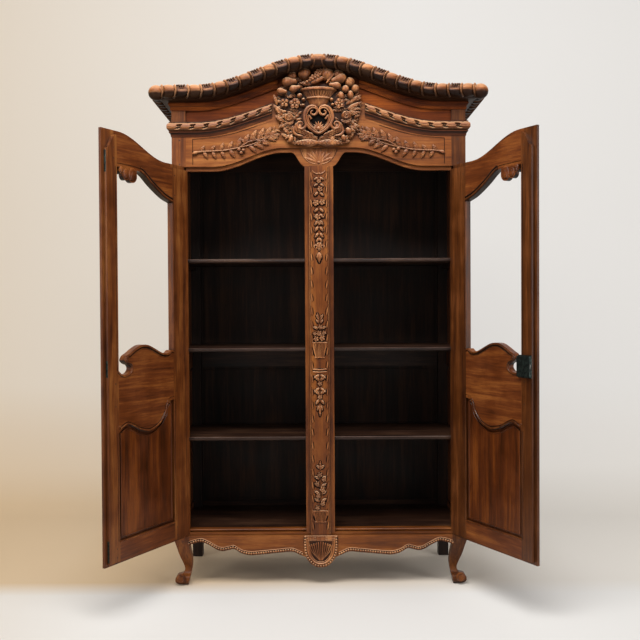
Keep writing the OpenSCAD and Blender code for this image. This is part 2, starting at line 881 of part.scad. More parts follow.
module hinge_stile(side) {
    color("#7a4426")
        hang(side)
            difference() {
                intersection() {
                    door_blank();
                    box(0, hinge_stile_s, -cut_over, cut_over, 0, case_top_z);
                }
                door_tenons();
                panel_sheet();
                peg_row(cut_over);
                for (z = [low_hinge_z, high_hinge_z])
                    door_leaf(z);
            }
}

module lock_stile(side) {
    color("#7a4426")
        hang(side)
            difference() {
                intersection() {
                    door_blank();
                    box(lock_stile_s, hinge_x, -cut_over, cut_over, 0, case_top_z);
                }
                door_tenons();
                panel_sheet();
                peg_row(cut_over);
                if (side < 0) {
                    edge_plates();
                    strike_plate();
                    bolt_bores();
                }
                if (side > 0)
                    keyhole();
            }
}

// Lobed leaf under the top rail: each lobe's middle and radius, in shares of span, height and height
lobe_shares = [[0.735, 0.45, 0.19], [0.846, 0.46, 0.14], [0.922, 0.36, 0.1]];
lobe_root = [0.66, 0.95, 0.42];

module top_rail(side) {
    color("#854a26")
        hang(side)
            difference() {
                union() {
                    intersection() {
                        door_blank();
                        slab(0, door_t)
                            polygon(concat(top_curve,
                                [[lock_stile_s, case_top_z], [hinge_stile_s, case_top_z]]));
                    }
                    for (l = lobe_shares)
                        slab(lip_t / 2, door_t)
                            translate([hinge_stile_s + span_s * l[0], side_top_z - top_rail_h * l[1]])
                                circle(r = top_rail_h * l[2], $fn = 48);
                    box(hinge_stile_s + span_s * lobe_root[0], hinge_stile_s + span_s * lobe_root[1],
                        lip_t / 2, door_t, side_top_z - top_rail_h * lobe_root[2],
                        side_top_z - top_rail_h * lobe_root[2] / 2);
                    tenon_pair(top_tenons);
                }
                bead_line(top_curve, bead_w * 3);
                peg_row(cut_over);
            }
}

module scrolled_rail(side) {
    color("#854a26")
        hang(side)
            difference() {
                union() {
                    slab(0, door_t)
                        polygon(concat(scroll_curve, [[lock_stile_s, joint_z], [hinge_stile_s, joint_z]]));
                    tenon_pair(scroll_tenons);
                }
                peg_row(cut_over);
            }
}

// Board hung under the scrolled rail, with the curve over the panel
module hanging_rail(side) {
    color("#7c4322")
        hang(side)
            difference() {
                union() {
                    slab(0, door_t)
                        polygon(concat(hanging_curve, [[lock_stile_s, joint_z], [hinge_stile_s, joint_z]]));
                    tenon_pair(hanging_tenons);
                }
                bead_line(hanging_curve, bead_w * 3);
                panel_sheet();
                peg_row(cut_over);
            }
}

module bottom_rail(side) {
    color("#854a26")
        hang(side)
            difference() {
                union() {
                    intersection() {
                        door_blank();
                        box(hinge_stile_s, lock_stile_s, 0, door_t, 0, panel_z);
                    }
                    tenon_pair(bottom_tenons);
                }
                panel_sheet();
                peg_row(cut_over);
            }
}

module door_panel(side) {
    color("#5c3014")
        hang(side) {
            panel_sheet();
            intersection() {
                slab(field_y0, door_t - field_y0)
                    panel_outline(edge_gap, -field_inset);
                box(hinge_stile_s + field_inset, lock_stile_s - field_inset, 0, door_t,
                    panel_z + field_inset, joint_z);
            }
        }
}

module door_pegs(side) {
    color("#4d2b17")
        hang(side)
            peg_row(0);
}

module case_pegs() {
    color("#4d2b17")
        for (side = [-1, 1])
            sided(side)
                post_pegs(0);
}

// One half of a turned hinge barrel, from the joint down to its finial
module barrel_half() {
    body_r = barrel_r * neck_share;
    translate([0, 0, -half_l + barrel_r])
        cylinder(r = body_r, h = half_l - barrel_r, $fn = 48);
    translate([0, 0, -ring_h])
        cylinder(r = barrel_r, h = ring_h, $fn = 48);
    translate([0, 0, -half_l + barrel_r + ring_h])
        cylinder(r = barrel_r, h = ring_h, $fn = 48);
    translate([0, 0, -half_l + barrel_r * neck_share])
        sphere(r = body_r, $fn = 48);
}

module pin_hole(r) {
    translate([0, 0, -half_l + pin_stop + barrel_r])
        cylinder(r = r, h = half_l, $fn = 48);
}

module hinge_post_halves(side) {
    color("#9a8460")
        sided(side)
            for (z = [low_hinge_z, high_hinge_z])
                difference() {
                    union() {
                        translate([-hinge_x, hinge_y, z - joint_gap / 2])
                            barrel_half();
                        post_leaf(z);
                    }
                    translate([-hinge_x, hinge_y, z - joint_gap / 2])
                        pin_hole(pin_d / 2);
                }
}

module hinge_door_halves(side) {
    color("#9a8460")
        hang(side)
            for (z = [low_hinge_z, high_hinge_z])
                difference() {
                    union() {
                        translate([0, hinge_y, z + joint_gap / 2])
                            mirror([0, 0, 1])
                                barrel_half();
                        door_leaf(z);
                    }
                    translate([0, hinge_y, z + joint_gap / 2])
                        mirror([0, 0, 1])
                            pin_hole(pin_d / 2 + run_gap);
                }
}

module hinge_pins(side) {
    pin_l = 2 * (half_l - pin_stop - barrel_r) - edge_gap;
    color("#6f665c")
        sided(side)
            for (z = [low_hinge_z, high_hinge_z])
                translate([-hinge_x, hinge_y, z - joint_gap / 2 - half_l + pin_stop + barrel_r])
                    cylinder(r = pin_d / 2, h = pin_l, $fn = 48);
}

// Box lock on the inner face of the right door
lock_mid_z = door_z + lock_z;
bolt_t = 7;
bolt_h = 22;
bolt_l = 34;
bolt_in_y = door_t + (lock_t - bolt_t) / 2;
bolt_fit = 0.1;
plate_t = 3;

module bolt_bar(grow, reach) {
    box(thick_s - edge_gap - bolt_l - grow, thick_s - edge_gap + reach, bolt_in_y - grow,
        bolt_in_y + bolt_t + grow, lock_mid_z - bolt_h / 2 - grow, lock_mid_z + bolt_h / 2 + grow);
}

module keyhole() {
    key_s = thick_s - lock_w * 0.45;
    translate([key_s, cut_over, lock_mid_z - lock_h * 0.12])
        rotate([90, 0, 0])
            cylinder(d = bolt_t, h = cut_over * 2, $fn = 32);
    box(key_s - bolt_t / 4, key_s + bolt_t / 4, -cut_over, cut_over,
        lock_mid_z - lock_h * 0.12 - bolt_t * 1.5, lock_mid_z - lock_h * 0.12);
}

module lock_case() {
    foot = 4;
    color("#26302c")
        hang(1)
            difference() {
                union() {
                    box(thick_s - lock_w, thick_s, door_t, door_t + plate_t,
                        lock_mid_z - lock_h / 2, lock_mid_z + lock_h / 2);
                    box(thick_s - lock_w + foot, thick_s, door_t, door_t + lock_t,
                        lock_mid_z - lock_h / 2 + foot, lock_mid_z + lock_h / 2 - foot);
                }
                bolt_bar(bolt_fit, cut_over);
            }
}

module lock_bolt() {
    color("#6b6a66")
        hang(1)
            bolt_bar(0, 0);
}

// Slot in the centre post that takes the lock's bolt when the door is shut
module lock_mortise() {
    box(centre_x - bolt_throw - edge_gap, centre_x + cut_over,
        bolt_in_y - edge_gap, bolt_in_y + bolt_t + edge_gap,
        lock_mid_z - bolt_h / 2 - edge_gap, lock_mid_z + bolt_h / 2 + edge_gap);
}

// Edge bolts of the left door, with the iron plates over them
rod_d = 8;
rod_l = 60;
rod_s = thick_s - plate_t - rod_d;
rod_y = (lip_t + door_t) / 2;
rod_x = -hinge_x + rod_s;
rod_hole_d = rod_d + 1;
top_rod_z = drop_z - edge_gap * 2 - rod_l;
low_rod_z = thick_foot_z + edge_gap;
plate_l = 92;
plate_w = 11;
plate_in = 5;
strike_h = 70;

module edge_plate(z0, z1) {
    box(thick_s - plate_t, thick_s, rod_y - plate_w / 2, rod_y + plate_w / 2, z0, z1);
}

module edge_plates() {
    edge_plate(top_rod_z + rod_l - plate_in - plate_l, top_rod_z + rod_l - plate_in);
    edge_plate(low_rod_z + plate_in, low_rod_z + plate_in + plate_l);
}

module strike_plate() {
    edge_plate(lock_mid_z - strike_h / 2, lock_mid_z + strike_h / 2);
}

module rod(d, z0, z1) {
    translate([rod_s, rod_y, z0])
        cylinder(d = d, h = z1 - z0, $fn = 32);
}

module bolt_bores() {
    rod(rod_d + 2 * run_gap, top_rod_z, top_rod_z + rod_l + cut_over);
    rod(rod_d + 2 * run_gap, low_rod_z - cut_over, low_rod_z + rod_l);
}

// Hole in the drop above the top bolt
module top_bolt_hole() {
    translate([rod_x, rod_y, drop_z - rod_d])
        cylinder(d = rod_hole_d, h = rod_d + bolt_throw + edge_gap, $fn = 32);
}

// Hole in the sill under the bottom bolt
module sill_bolt_hole() {
    translate([rod_x, rod_y, door_z - cut_over])
        cylinder(d = rod_hole_d, h = cut_over * 2, $fn = 32);
}

module left_edge_plates() {
    color("#2b2f2c")
        hang(-1)
            edge_plates();
}

module left_strike_plate() {
    color("#2b2f2c")
        hang(-1)
            strike_plate();
}

module left_top_bolt() {
    color("#55534f")
        hang(-1)
            rod(rod_d, top_rod_z, top_rod_z + rod_l);
}

module left_bottom_bolt() {
    color("#55534f")
        hang(-1)
            rod(rod_d, low_rod_z, low_rod_z + rod_l);
}

front_post(-1);  // left_front_post
front_post(1);  // right_front_post
rear_post(-1);  // left_rear_post
rear_post(1);  // right_rear_post
centre_post();
frieze_board();
cornice_board();
drop_fan();
basket_carving();
rope_moulding();
bed_moulding();
crown_moulding();
top_board();
apron();
apron_shield();
door_sill();
bottom_board();
shelf_1();
shelf_2();
shelf_3();
shelf_cleats(-1);  // left_shelf_cleats
shelf_cleats(1);  // right_shelf_cleats
side_rails(-1);  // left_side_rails
side_rails(1);  // right_side_rails
side_panels(-1);  // left_side_panels
side_panels(1);  // right_side_panels
back_rails();
back_muntin();
back_panels();
hinge_stile(-1);  // left_door_hinge_stile
lock_stile(-1);  // left_door_lock_stile
top_rail(-1);  // left_door_top_rail
scrolled_rail(-1);  // left_door_scrolled_rail
hanging_rail(-1);  // left_door_hanging_rail
bottom_rail(-1);  // left_door_bottom_rail
door_panel(-1);  // left_door_panel
hinge_stile(1);  // right_door_hinge_stile
lock_stile(1);  // right_door_lock_stile
top_rail(1);  // right_door_top_rail
scrolled_rail(1);  // right_door_scrolled_rail
hanging_rail(1);  // right_door_hanging_rail
bottom_rail(1);  // right_door_bottom_rail
door_panel(1);  // right_door_panel
hinge_post_halves(-1);  // left_hinge_post_halves
hinge_door_halves(-1);  // left_hinge_door_halves
hinge_pins(-1);  // left_hinge_pins
hinge_post_halves(1);  // right_hinge_post_halves
hinge_door_halves(1);  // right_hinge_door_halves
hinge_pins(1);  // right_hinge_pins
lock_case();
lock_bolt();
left_edge_plates();
left_top_bolt();
left_bottom_bolt();
left_strike_plate();
case_pegs();
door_pegs(-1);  // left_door_pegs
door_pegs(1);  // right_door_pegs
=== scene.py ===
import json
import math

import bmesh
import bpy
import numpy as np
from mathutils import Matrix, Vector


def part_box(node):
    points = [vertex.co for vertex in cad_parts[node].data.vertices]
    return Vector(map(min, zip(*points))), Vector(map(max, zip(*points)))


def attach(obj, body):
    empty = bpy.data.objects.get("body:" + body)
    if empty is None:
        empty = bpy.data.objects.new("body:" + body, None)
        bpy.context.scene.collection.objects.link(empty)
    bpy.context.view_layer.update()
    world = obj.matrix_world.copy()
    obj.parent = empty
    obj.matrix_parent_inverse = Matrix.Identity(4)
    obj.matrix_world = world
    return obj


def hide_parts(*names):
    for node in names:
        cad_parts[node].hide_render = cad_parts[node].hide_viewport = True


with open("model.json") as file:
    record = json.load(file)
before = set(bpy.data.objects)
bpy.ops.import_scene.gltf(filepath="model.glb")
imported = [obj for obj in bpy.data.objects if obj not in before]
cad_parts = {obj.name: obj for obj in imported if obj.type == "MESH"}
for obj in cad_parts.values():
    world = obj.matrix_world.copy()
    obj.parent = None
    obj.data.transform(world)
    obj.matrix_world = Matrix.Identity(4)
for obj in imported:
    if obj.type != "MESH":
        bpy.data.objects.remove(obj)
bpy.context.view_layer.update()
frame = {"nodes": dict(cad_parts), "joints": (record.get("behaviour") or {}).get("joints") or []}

# The armoire's lengths are in millimetres here. The frame, its meshes and the stage are in metres
MM = 0.001
SIDES = {"left": -1, "right": 1}


# Sizes read from the frame

def low(node):
    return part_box(node)[0] / MM


def high(node):
    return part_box(node)[1] / MM


HALF_W = -low("left_rear_post").x
INNER_X = -high("left_rear_post").x
BACK_Y = high("left_rear_post").y
HINGE = next(Vector(j["pos_m"]) / MM
    for j in frame["joints"] if j["type"] == "hinge" and j["child"] == "right_door")
DOOR_OPEN = math.radians(117)
DOOR_T = 28
LAP_Y = 12.5
SILL_Z = high("apron").z
DROP_Z = high("centre_post").z
CENTRE_X = high("centre_post").x
CROWN_Z = low("crown_moulding").z
CROWN_OUT = high("crown_moulding").x - HALF_W
CROWN_H, BED_H, ROPE_H = 68, 38, 70
ARCH_RISE = high("crown_moulding").z - CROWN_Z - CROWN_H
ROPE_RISE = 0.91 * ARCH_RISE
ARCH_HALF = 0.83 * HALF_W
BASKET_LOW, BASKET_HIGH = low("basket_carving"), high("basket_carving")


# Curves

def hump(t):
    """0 at both ends and 1 in the middle."""
    return math.sin(math.pi * t)


def ease(t):
    """1 at t = 0 and 0 at t = 1, with level ends."""
    return 0.5 + 0.5 * math.cos(math.pi * min(max(t, 0.0), 1.0))


def arch(x, rise):
    return rise * ease(abs(x) / ARCH_HALF)


def dip(x, centre, reach):
    """1 at the centre, fading on both sides."""
    return math.exp(-((x - centre) / reach) ** 2)


def circle(count):
    return [2 * math.pi * k / count for k in range(count)]


def spline(points, steps):
    """Smooth curve through given points."""
    pts = [np.array(p, float) for p in (points[0], *points, points[-1])]
    out = []
    for a, b, c, d in zip(pts, pts[1:], pts[2:], pts[3:]):
        for k in range(steps):
            t = k / steps
            out.append((b * 2 + (c - a) * t + (a * 2 - b * 5 + c * 4 - d) * t ** 2
                + (b * 3 - a - c * 3 + d) * t ** 3) / 2)
    return out + [pts[-1]]


def evenly(points, count):
    """The same path with count points at equal distances."""
    p = np.array(points, float)
    d = np.concatenate([[0], np.cumsum(np.linalg.norm(np.diff(p, axis=0), axis=1))])
    t = np.linspace(0, d[-1], count)
    return [np.array([np.interp(v, d, p[:, k]) for k in range(p.shape[1])]) for v in t]


def on_side(path, side):
    """A path of (across, up) points on the left half (-1) or the right one (1)."""
    return [(side * u, v) for u, v in path]


def both_halves(path):
    """A path that ends on the middle line, and its mirror image back again."""
    return list(path) + on_side(path[-2::-1], -1)


# Places: each turns (across, up, out of the surface) into the frame

def on_front(plane_y=0.0, base_z=0.0, side=1):
    """On a front plane of the case, up from a height and out towards the viewer."""
    return lambda u, v, w: Vector((side * u, plane_y - w, base_z + v))


def on_door(side, plane_y):
    """On the inner face of an open door: u runs from the hinge axis to the free edge."""
    turn_cos, turn_sin = math.cos(DOOR_OPEN), math.sin(DOOR_OPEN)

    def place(u, v, w):
        y = plane_y + w - HINGE.y
        x = u * turn_cos + y * turn_sin - HINGE.x
        return Vector((-side * x, HINGE.y - u * turn_sin + y * turn_cos, v))
    return place


# Meshes

# Edges bent by more than this stay crisp under smooth shading
SHARP = math.radians(38)


def new_mesh(name, verts, faces, scale=MM):
    mesh = bpy.data.meshes.new(name)
    mesh.from_pydata([[c * scale for c in v] for v in verts], [], faces)
    mesh.validate()
    return mesh


def new_object(name, data):
    piece = bpy.data.objects.new(name, data)
    bpy.context.scene.collection.objects.link(piece)
    return piece


def skin(rings, n):
    """Faces between rings of n points."""
    return [(i * n + j, i * n + (j + 1) % n, (i + 1) * n + (j + 1) % n, (i + 1) * n + j)
        for i in range(rings - 1) for j in range(n)]


def outwards(verts, faces):
    """The faces of a closed shell, turned so that they look outwards: its volume is then positive."""
    corners = [(f[0], f[k], f[k + 1]) for f in faces for k in range(1, len(f) - 1)]
    a, b, c = np.array(verts, float)[np.array(corners)].transpose(1, 0, 2)
    return faces if (a * np.cross(b, c)).sum() > 0 else [(f[0], *f[:0:-1]) for f in faces]


class Carving:
    """Gathers closed shells that become one piece, on the surface that its place tells."""

    def __init__(self, place=None):
        self.place = place
        self.verts = []
        self.faces = []

    def add(self, verts, faces, mirrored=False):
        """Adds a closed shell, and its mirror image on the other half where asked."""
        for side in (1, -1) if mirrored else (1,):
            start = len(self.verts)
            shell = [(side * x, y, z) for x, y, z in verts]
            self.faces += [tuple(start + i for i in f) for f in outwards(shell, faces)]
            self.verts += shell

    def tube(self, rings, mirrored=False):
        """Skin over rings of equal length, capped at its ends."""
        n = len(rings[0])
        end = (len(rings) - 1) * n
        caps = [tuple(range(n - 1, -1, -1)), tuple(range(end, end + n))]
        self.add([p for r in rings for p in r], skin(len(rings), n) + caps, mirrored)

    def layers(self, *layers):
        """Plate through (across, up) outlines, each with its height out of the surface."""
        self.tube([[self.place(u, v, w) for u, v in outline] for outline, w in layers])

    def blob(self, centre, size, rows, cols, turn=0.0, power=1.0):
        """Rounded lump: centre and size as across, up, out."""
        cu, cv, cw = centre
        su, sv, sw = size
        ct, st = math.cos(turn), math.sin(turn)
        verts = []
        for i in range(1, rows):
            lat = math.pi * i / rows
            b = sv * math.cos(lat)
            for lon in circle(cols):
                a = su * math.sin(lat) ** power * math.cos(lon)
                w = sw * math.sin(lat) ** power * math.sin(lon)
                verts.append(self.place(cu + a * ct - b * st, cv + a * st + b * ct, cw + w))
        top = len(verts)
        last = top - cols
        verts += [self.place(cu - k * sv * st, cv + k * sv * ct, cw) for k in (1, -1)]
        faces = skin(rows - 1, cols)
        for j in range(cols):
            k = (j + 1) % cols
            faces += [(top, k, j), (top + 1, last + j, last + k)]
        self.add(verts, faces)

    def leaf(self, root, angle, length, width, lift, base, rows):
        """Pointed leaf with a sunk midrib, from its root along an angle; lift is its height."""
        du, dv = math.cos(angle), math.sin(angle)
        brow = 0.45 ** 0.6
        rings = []
        for i in range(rows + 1):
            t = i / rows
            u, v = root[0] + length * t * du, root[1] + length * t * dv
            spread = width * hump(min(t * 0.92 + 0.08, 1.0)) ** 0.8 * (1 - 0.35 * t)
            rise = lift * hump(0.15 + 0.75 * t)
            rings.append([self.place(u - dv * spread * c, v + du * spread * c, base + w) for c,
                w in ((-1, 0), (-0.55, rise * brow), (0, rise * 0.72), (0.55, rise * brow), (1, 0),
                (1, -0.3 * lift), (-1, -0.3 * lift))])
        self.tube(rings)

    def band(self, path, radius, base=0.0, sides=8, flat=0.7, taper=None):
        """Half-sunk round moulding along a path of (across, up) points."""
        rings = []
        last = len(path) - 1
        for i, (u, v) in enumerate(path):
            d = np.subtract(path[min(i + 1, last)], path[max(i - 1, 0)])
            d = d / max(np.linalg.norm(d), 1e-6)
            r = radius * (taper(i / last) if taper else 1.0)
            rings.append([self.place(u - d[1] * r * math.cos(q), v + d[0] * r * math.cos(q),
                base + r * flat * math.sin(q)) for q in circle(sides)])
        self.tube(rings)

    def piece(self, name, material, body, slot, smooth=True):
        """One object with crisp arrises, riding on a body."""
        mesh = new_mesh(name, self.verts, self.faces)
        bm = bmesh.new()
        bm.from_mesh(mesh)
        for f in bm.faces:
            f.smooth = smooth
        for e in bm.edges:
            if smooth and len(e.link_faces) == 2 and e.calc_face_angle(0) > SHARP:
                e.smooth = False
        bm.to_mesh(mesh)
        bm.free()
        mesh.materials.append(material)
        piece = new_object(name, mesh)
        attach(piece, body)
        return piece


# Materials

def linear(hex_colour):
    """Linear colour of an sRGB hex value."""
    out = []
    for i in (0, 2, 4):
        c = int(hex_colour[i:i + 2], 16) / 255
        out.append(c / 12.92 if c <= 0.04045 else ((c + 0.055) / 1.055) ** 2.4)
    return (*out, 1.0)


def join(tree, node, inputs):
    """Sets a node's inputs to values or links them to sockets."""
    for key, value in inputs.items():
        if isinstance(value, bpy.types.NodeSocket):
            tree.links.new(value, node.inputs[key])
        else:
            node.inputs[key].default_value = value


def add(tree, kind, inputs=None, **settings):
    """A new node's outputs, after its settings and inputs are made."""
    node = tree.nodes.new(kind)
    for key, value in settings.items():
        setattr(node, key, value)
    join(tree, node, inputs or {})
    return node.outputs


def remap(tree, value, start, end, first, last):
    """A value's range from start to end, turned into first to last."""
    return add(tree, "ShaderNodeMapRange", {"Value": value, "From Min": start, "From Max": end,
        "To Min": first, "To Max": last})["Result"]


def maths(tree, operation, *values):
    return add(tree, "ShaderNodeMath", dict(enumerate(values)), operation=operation)[0]


def blend(tree, share, a, b):
    return add(tree, "ShaderNodeMix", {"Factor": share, "A": a, "B": b}, data_type="RGBA")["Result"]


def noise(tree, place, size, detail, roughness=0.5, distortion=0.0):
    """Clouds of a size in mm."""
    return add(tree, "ShaderNodeTexNoise", {"Vector": place, "Scale": 1 / (size * MM),
        "Detail": detail, "Roughness": roughness, "Distortion": distortion})["Fac"]


def ramp(tree, fac, stops):
    """Colour ramp through (place, hex) stops."""
    node = tree.nodes.new("ShaderNodeValToRGB")
    join(tree, node, {"Fac": fac})
    elements = node.color_ramp.elements
    while len(elements) < len(stops):
        elements.new(0.5)
    for element, (place, colour) in zip(elements, stops):
        element.position = place
        element.color = linear(colour)
    return node.outputs["Color"]


def bumped(tree, height, strength, depth):
    """Normal from a height; its depth is in mm."""
    return add(tree, "ShaderNodeBump", {"Height": height, "Strength": strength,
        "Distance": depth * MM})["Normal"]


def new_material(name):
    """A material with its tree, its shader and the place on the object."""
    material = bpy.data.materials.new(name)
    material.use_nodes = True
    tree = material.node_tree
    tree.nodes.clear()
    shader = tree.nodes.new("ShaderNodeBsdfPrincipled")
    add(tree, "ShaderNodeOutputMaterial", {"Surface": shader.outputs["BSDF"]})
    return material, tree, shader, add(tree, "ShaderNodeTexCoord")["Object"]


def waxed_wood(name, dark, mid, light, grain, turn=0.0, figure=42, rough=0.42, hollow=0.6,
        under=0.35, underside_shade=(0.0, -0.7), coat=0.04, shine=0.3, top_highlight=0.0):
    """Old fruitwood, planed and waxed: streaks along the grain, cloudy figure and fine pores. Painted
    shade darkens it by ambient occlusion in hollows and corners and on faces that turn down, and a
    painted highlight can pale the faces that turn up. grain names the axis that the fibres follow,
    turn the door's angle."""
    material, tree, shader, coords = new_material(name)
    level = add(tree, "ShaderNodeMapping", {"Vector": coords, "Rotation": (0, 0, turn)})["Vector"]
    fibre = add(tree, "ShaderNodeMapping", {"Vector": level,
        "Scale": [0.06 if axis == grain else 1 for axis in "XYZ"]})["Vector"]
    streak = noise(tree, fibre, 8, 3.0, 0.7, 0.2)
    cloud = noise(tree, level, 190, 3.0, 0.6)
    pores = noise(tree, fibre, 1.6, 1.0)
    tone = maths(tree, "MULTIPLY", noise(tree, fibre, figure, 4.0, 0.6, 0.6), 0.62)
    for value in (streak, cloud):
        tone = maths(tree, "MULTIPLY_ADD", value, 0.3, tone)
    colour = ramp(tree, tone, ((0.47, dark), (0.61, mid), (0.76, light)))
    colour = blend(tree, remap(tree, pores, 0.62, 0.74, 0.0, 0.55), colour, linear(dark))
    # painted shade: darker towards black in creases, by ambient occlusion, and on faces that turn
    # down
    open_air = add(tree, "ShaderNodeAmbientOcclusion", {"Distance": 24 * MM}, samples=8)["AO"]
    facing = add(tree, "ShaderNodeSeparateXYZ", {0: add(tree, "ShaderNodeNewGeometry")["Normal"]})[
        "Z"]
    shade_share = maths(tree, "MAXIMUM", remap(tree, open_air, 0.3, 0.85, hollow, 0.0),
        remap(tree, facing, *underside_shade, 0.0, under))
    colour = blend(tree, shade_share, colour, linear("130804"))
    if top_highlight:
        # painted highlight: faces that turn up are blended towards a pale tone, as light from above
        # makes them
        colour = blend(tree, remap(tree, facing, 0.3, 0.95, 0.0, top_highlight), colour, linear("e8bd95"))
    join(tree, shader, {"Base Color": colour, "Roughness": remap(tree, cloud, 0.3, 0.7,
        rough - 0.06, rough + 0.12), "Normal": bumped(tree,
        maths(tree, "MULTIPLY_ADD", streak, 0.6, pores), 0.25, 0.4), "IOR": 1.5,
        "Specular IOR Level": shine, "Coat Weight": coat, "Coat Roughness": 0.22})
    return material


def old_metal(name, dark, light, rough, metallic=1.0):
    """Forged metal, rubbed by hands: dark skin in patches, brighter where it is worn."""
    material, tree, shader, coords = new_material(name)
    patches = noise(tree, coords, 14, 4.0, 0.65)
    join(tree, shader, {"Base Color": ramp(tree, patches, ((0.38, dark), (0.66, light))),
        "Roughness": remap(tree, patches, 0.3, 0.7, rough + 0.15, rough - 0.05),
        "Normal": bumped(tree, noise(tree, coords, 1.5, 2.0), 0.3, 0.3), "Metallic": metallic})
    return material


def plain_stage(name, lit, shade_behind_feet, seen):
    """Matt paper, warmer on the left: the camera sees a pale tone on it with the soft shadow kept,
    and from behind it is clear. Behind the feet and low on the wall it turns a darker cream-brown,
    painted shade under the case. Places on it are in metres."""
    material, tree, shader, coords = new_material(name)
    place = add(tree, "ShaderNodeSeparateXYZ", {0: coords})
    tone = blend(tree, remap(tree, place["X"], -2.2, 0.6, 0, 1), *map(linear, seen))
    shade_cream = blend(tree, remap(tree, place["X"], -1.0, 1.0, 0, 1), *map(linear, shade_behind_feet))
    behind = maths(tree, "MULTIPLY", remap(tree, place["Y"], -0.14, 0.06, 0, 1),
        remap(tree, place["Z"], 0.05, 0.8, 1, 0))
    join(tree, shader, {"Roughness": 0.9, "Base Color": blend(tree, behind, linear(lit), shade_cream)})
    glow = add(tree, "ShaderNodeEmission", {"Color": blend(tree,
        maths(tree, "MULTIPLY", behind, 0.5), tone, shade_cream), "Strength": 1.0})[0]
    ray = add(tree, "ShaderNodeLightPath")
    seen_rays = maths(tree, "MAXIMUM", maths(tree, "MAXIMUM", ray["Is Camera Ray"],
        ray["Is Glossy Ray"]), ray["Is Transmission Ray"])
    share = maths(tree, "ADD", remap(tree, place["Z"], 0.0, 0.6, 0.0, 0.7),
        remap(tree, place["Y"], -1.1, -0.35, 0.3, 0.03))
    aside = remap(tree, maths(tree, "ABSOLUTE", place["X"]), 0.8, 1.35, 0.0, 0.4)
    share = maths(tree, "MINIMUM", maths(tree, "ADD", share, aside), 0.72)
    both = add(tree, "ShaderNodeMixShader", {0: maths(tree, "MULTIPLY", seen_rays, share),
        1: shader.outputs["BSDF"], 2: glow})[0]
    front_only = add(tree, "ShaderNodeMixShader", {0: add(tree,
        "ShaderNodeNewGeometry")["Backfacing"], 1: both, 2: add(tree,
        "ShaderNodeBsdfTransparent")[0]})[0]
    out = next(n for n in tree.nodes if n.type == "OUTPUT_MATERIAL")
    join(tree, out, {"Surface": front_only})
    return material


# Settings of the doors: nearly black painted shade on their downward faces
DOOR = dict(under=0.96, underside_shade=(-0.1, -0.5), shine=0.25)
# Waxed walnut of the case: red-brown
CASE_UP = waxed_wood("waxed_walnut_upright", "411e0b", "66340f", "8a501e", "Z", shine=0.25)
CASE_ACROSS = waxed_wood("waxed_walnut_across", "50270c", "733d13", "945a27", "X", shine=0.25)
CASE_SIDE = waxed_wood("waxed_walnut_side", "30170a", "532c14", "744525", "Z")
# A darker copy for the right front post: painted shade on the right side of the case
CASE_UP_SHADED = waxed_wood("waxed_walnut_upright_shaded", "2d1408", "4a250c", "6b3d18", "Z",
    shine=0.2)
# The step under the rope: dark walnut, painted shade in the hollow under the roll
SHADED_STEP = waxed_wood("step_walnut_painted_shade", "2a1006", "4b230d", "74401b", "X", under=0.95,
    shine=0.2)
# Doors, a shade redder and glossier from years of rubbing
DOOR_UP = waxed_wood("door_walnut_upright", "391a0a", "5e3012", "845024", "Z", rough=0.36,
    coat=0.03, **DOOR)
# A darker copy for the right door's stiles and mouldings: painted shade on the right door
DOOR_UP_SHADED = waxed_wood("door_walnut_upright_right", "2c1308", "4b260c", "6d3d1c", "Z",
    rough=0.34, coat=0.1, **DOOR)
DOOR_ACROSS = {name: waxed_wood(f"door_walnut_across_{name}", "391909", "5e2e11", "854d21", "X",
    turn=-side * DOOR_OPEN, rough=0.36, coat=0.03, **DOOR) for name, side in SIDES.items()}
DOOR_PANEL = waxed_wood("door_walnut_panel", "2d1304", "4d2208", "703a11", "Z", rough=0.34,
    coat=0.15)
# Carved walnut: painted shade in the hollows and underneath, and a painted highlight on the tops
CARVED = waxed_wood("carved_walnut", "5a2e14", "864e28", "b67a48", "Z", figure=30, hollow=0.94,
    under=0.6, shine=0.25, top_highlight=0.75)
CARVED_ACROSS = waxed_wood("carved_walnut_across", "522a11", "7a4320", "a66c3a", "X", figure=30,
    hollow=0.94, under=0.8, shine=0.25, top_highlight=0.5)
# The crown's roll: a painted highlight on top, and below it painted shade, nearly black, over dark
# patina
CROWN_ROLL = waxed_wood("walnut_roll_painted_light", "5a3018", "8a522e", "b87e50", "X", figure=30,
    hollow=0.94, under=0.95, underside_shade=(0.35, -0.2), coat=0.0, shine=0.12, top_highlight=0.42)
# Thin ridges between the lobes, palest of all: a lighter copy of the roll's walnut, painted highlight
RIDGE = waxed_wood("walnut_ridge_painted_highlight", "7a4a2a", "a9714a", "d09a70", "X", figure=30, hollow=0.35,
    under=0.9, underside_shade=(0.2, -0.35), coat=0.0, shine=0.2, top_highlight=0.8)
# Lobes with gouge cuts: a darker copy of the roll's walnut, painted shade that dulls them beside the
# smooth ones
NOTCHED_ROLL = waxed_wood("gouged_walnut_roll_shaded", "35180a", "5a2f18", "8a5632", "X", figure=18,
    hollow=0.96, under=0.96, underside_shade=(0.45, -0.1), coat=0.0, shine=0.15, top_highlight=0.25)
# Shelf noses: a paler, glossier copy of the boards, painted highlight on the front arrises
NOSE_HIGHLIGHT = waxed_wood("shelf_nose_painted_highlight", "4a3529", "6b5145", "8d7365", "X", rough=0.25,
    coat=0.5, under=0.9, underside_shade=(0.25, -0.2), shine=0.5)
# Unpolished boards inside and behind, almost black with age; on the rear posts the same black is
# painted shade under the case
BOARDS_UP = waxed_wood("aged_boards_upright", "120a06", "24150d", "3b2415", "Z", rough=0.6,
    coat=0.0)
BOARDS_ACROSS = waxed_wood("aged_boards_across", "170d08", "2e1a10", "49301f", "X", rough=0.4)
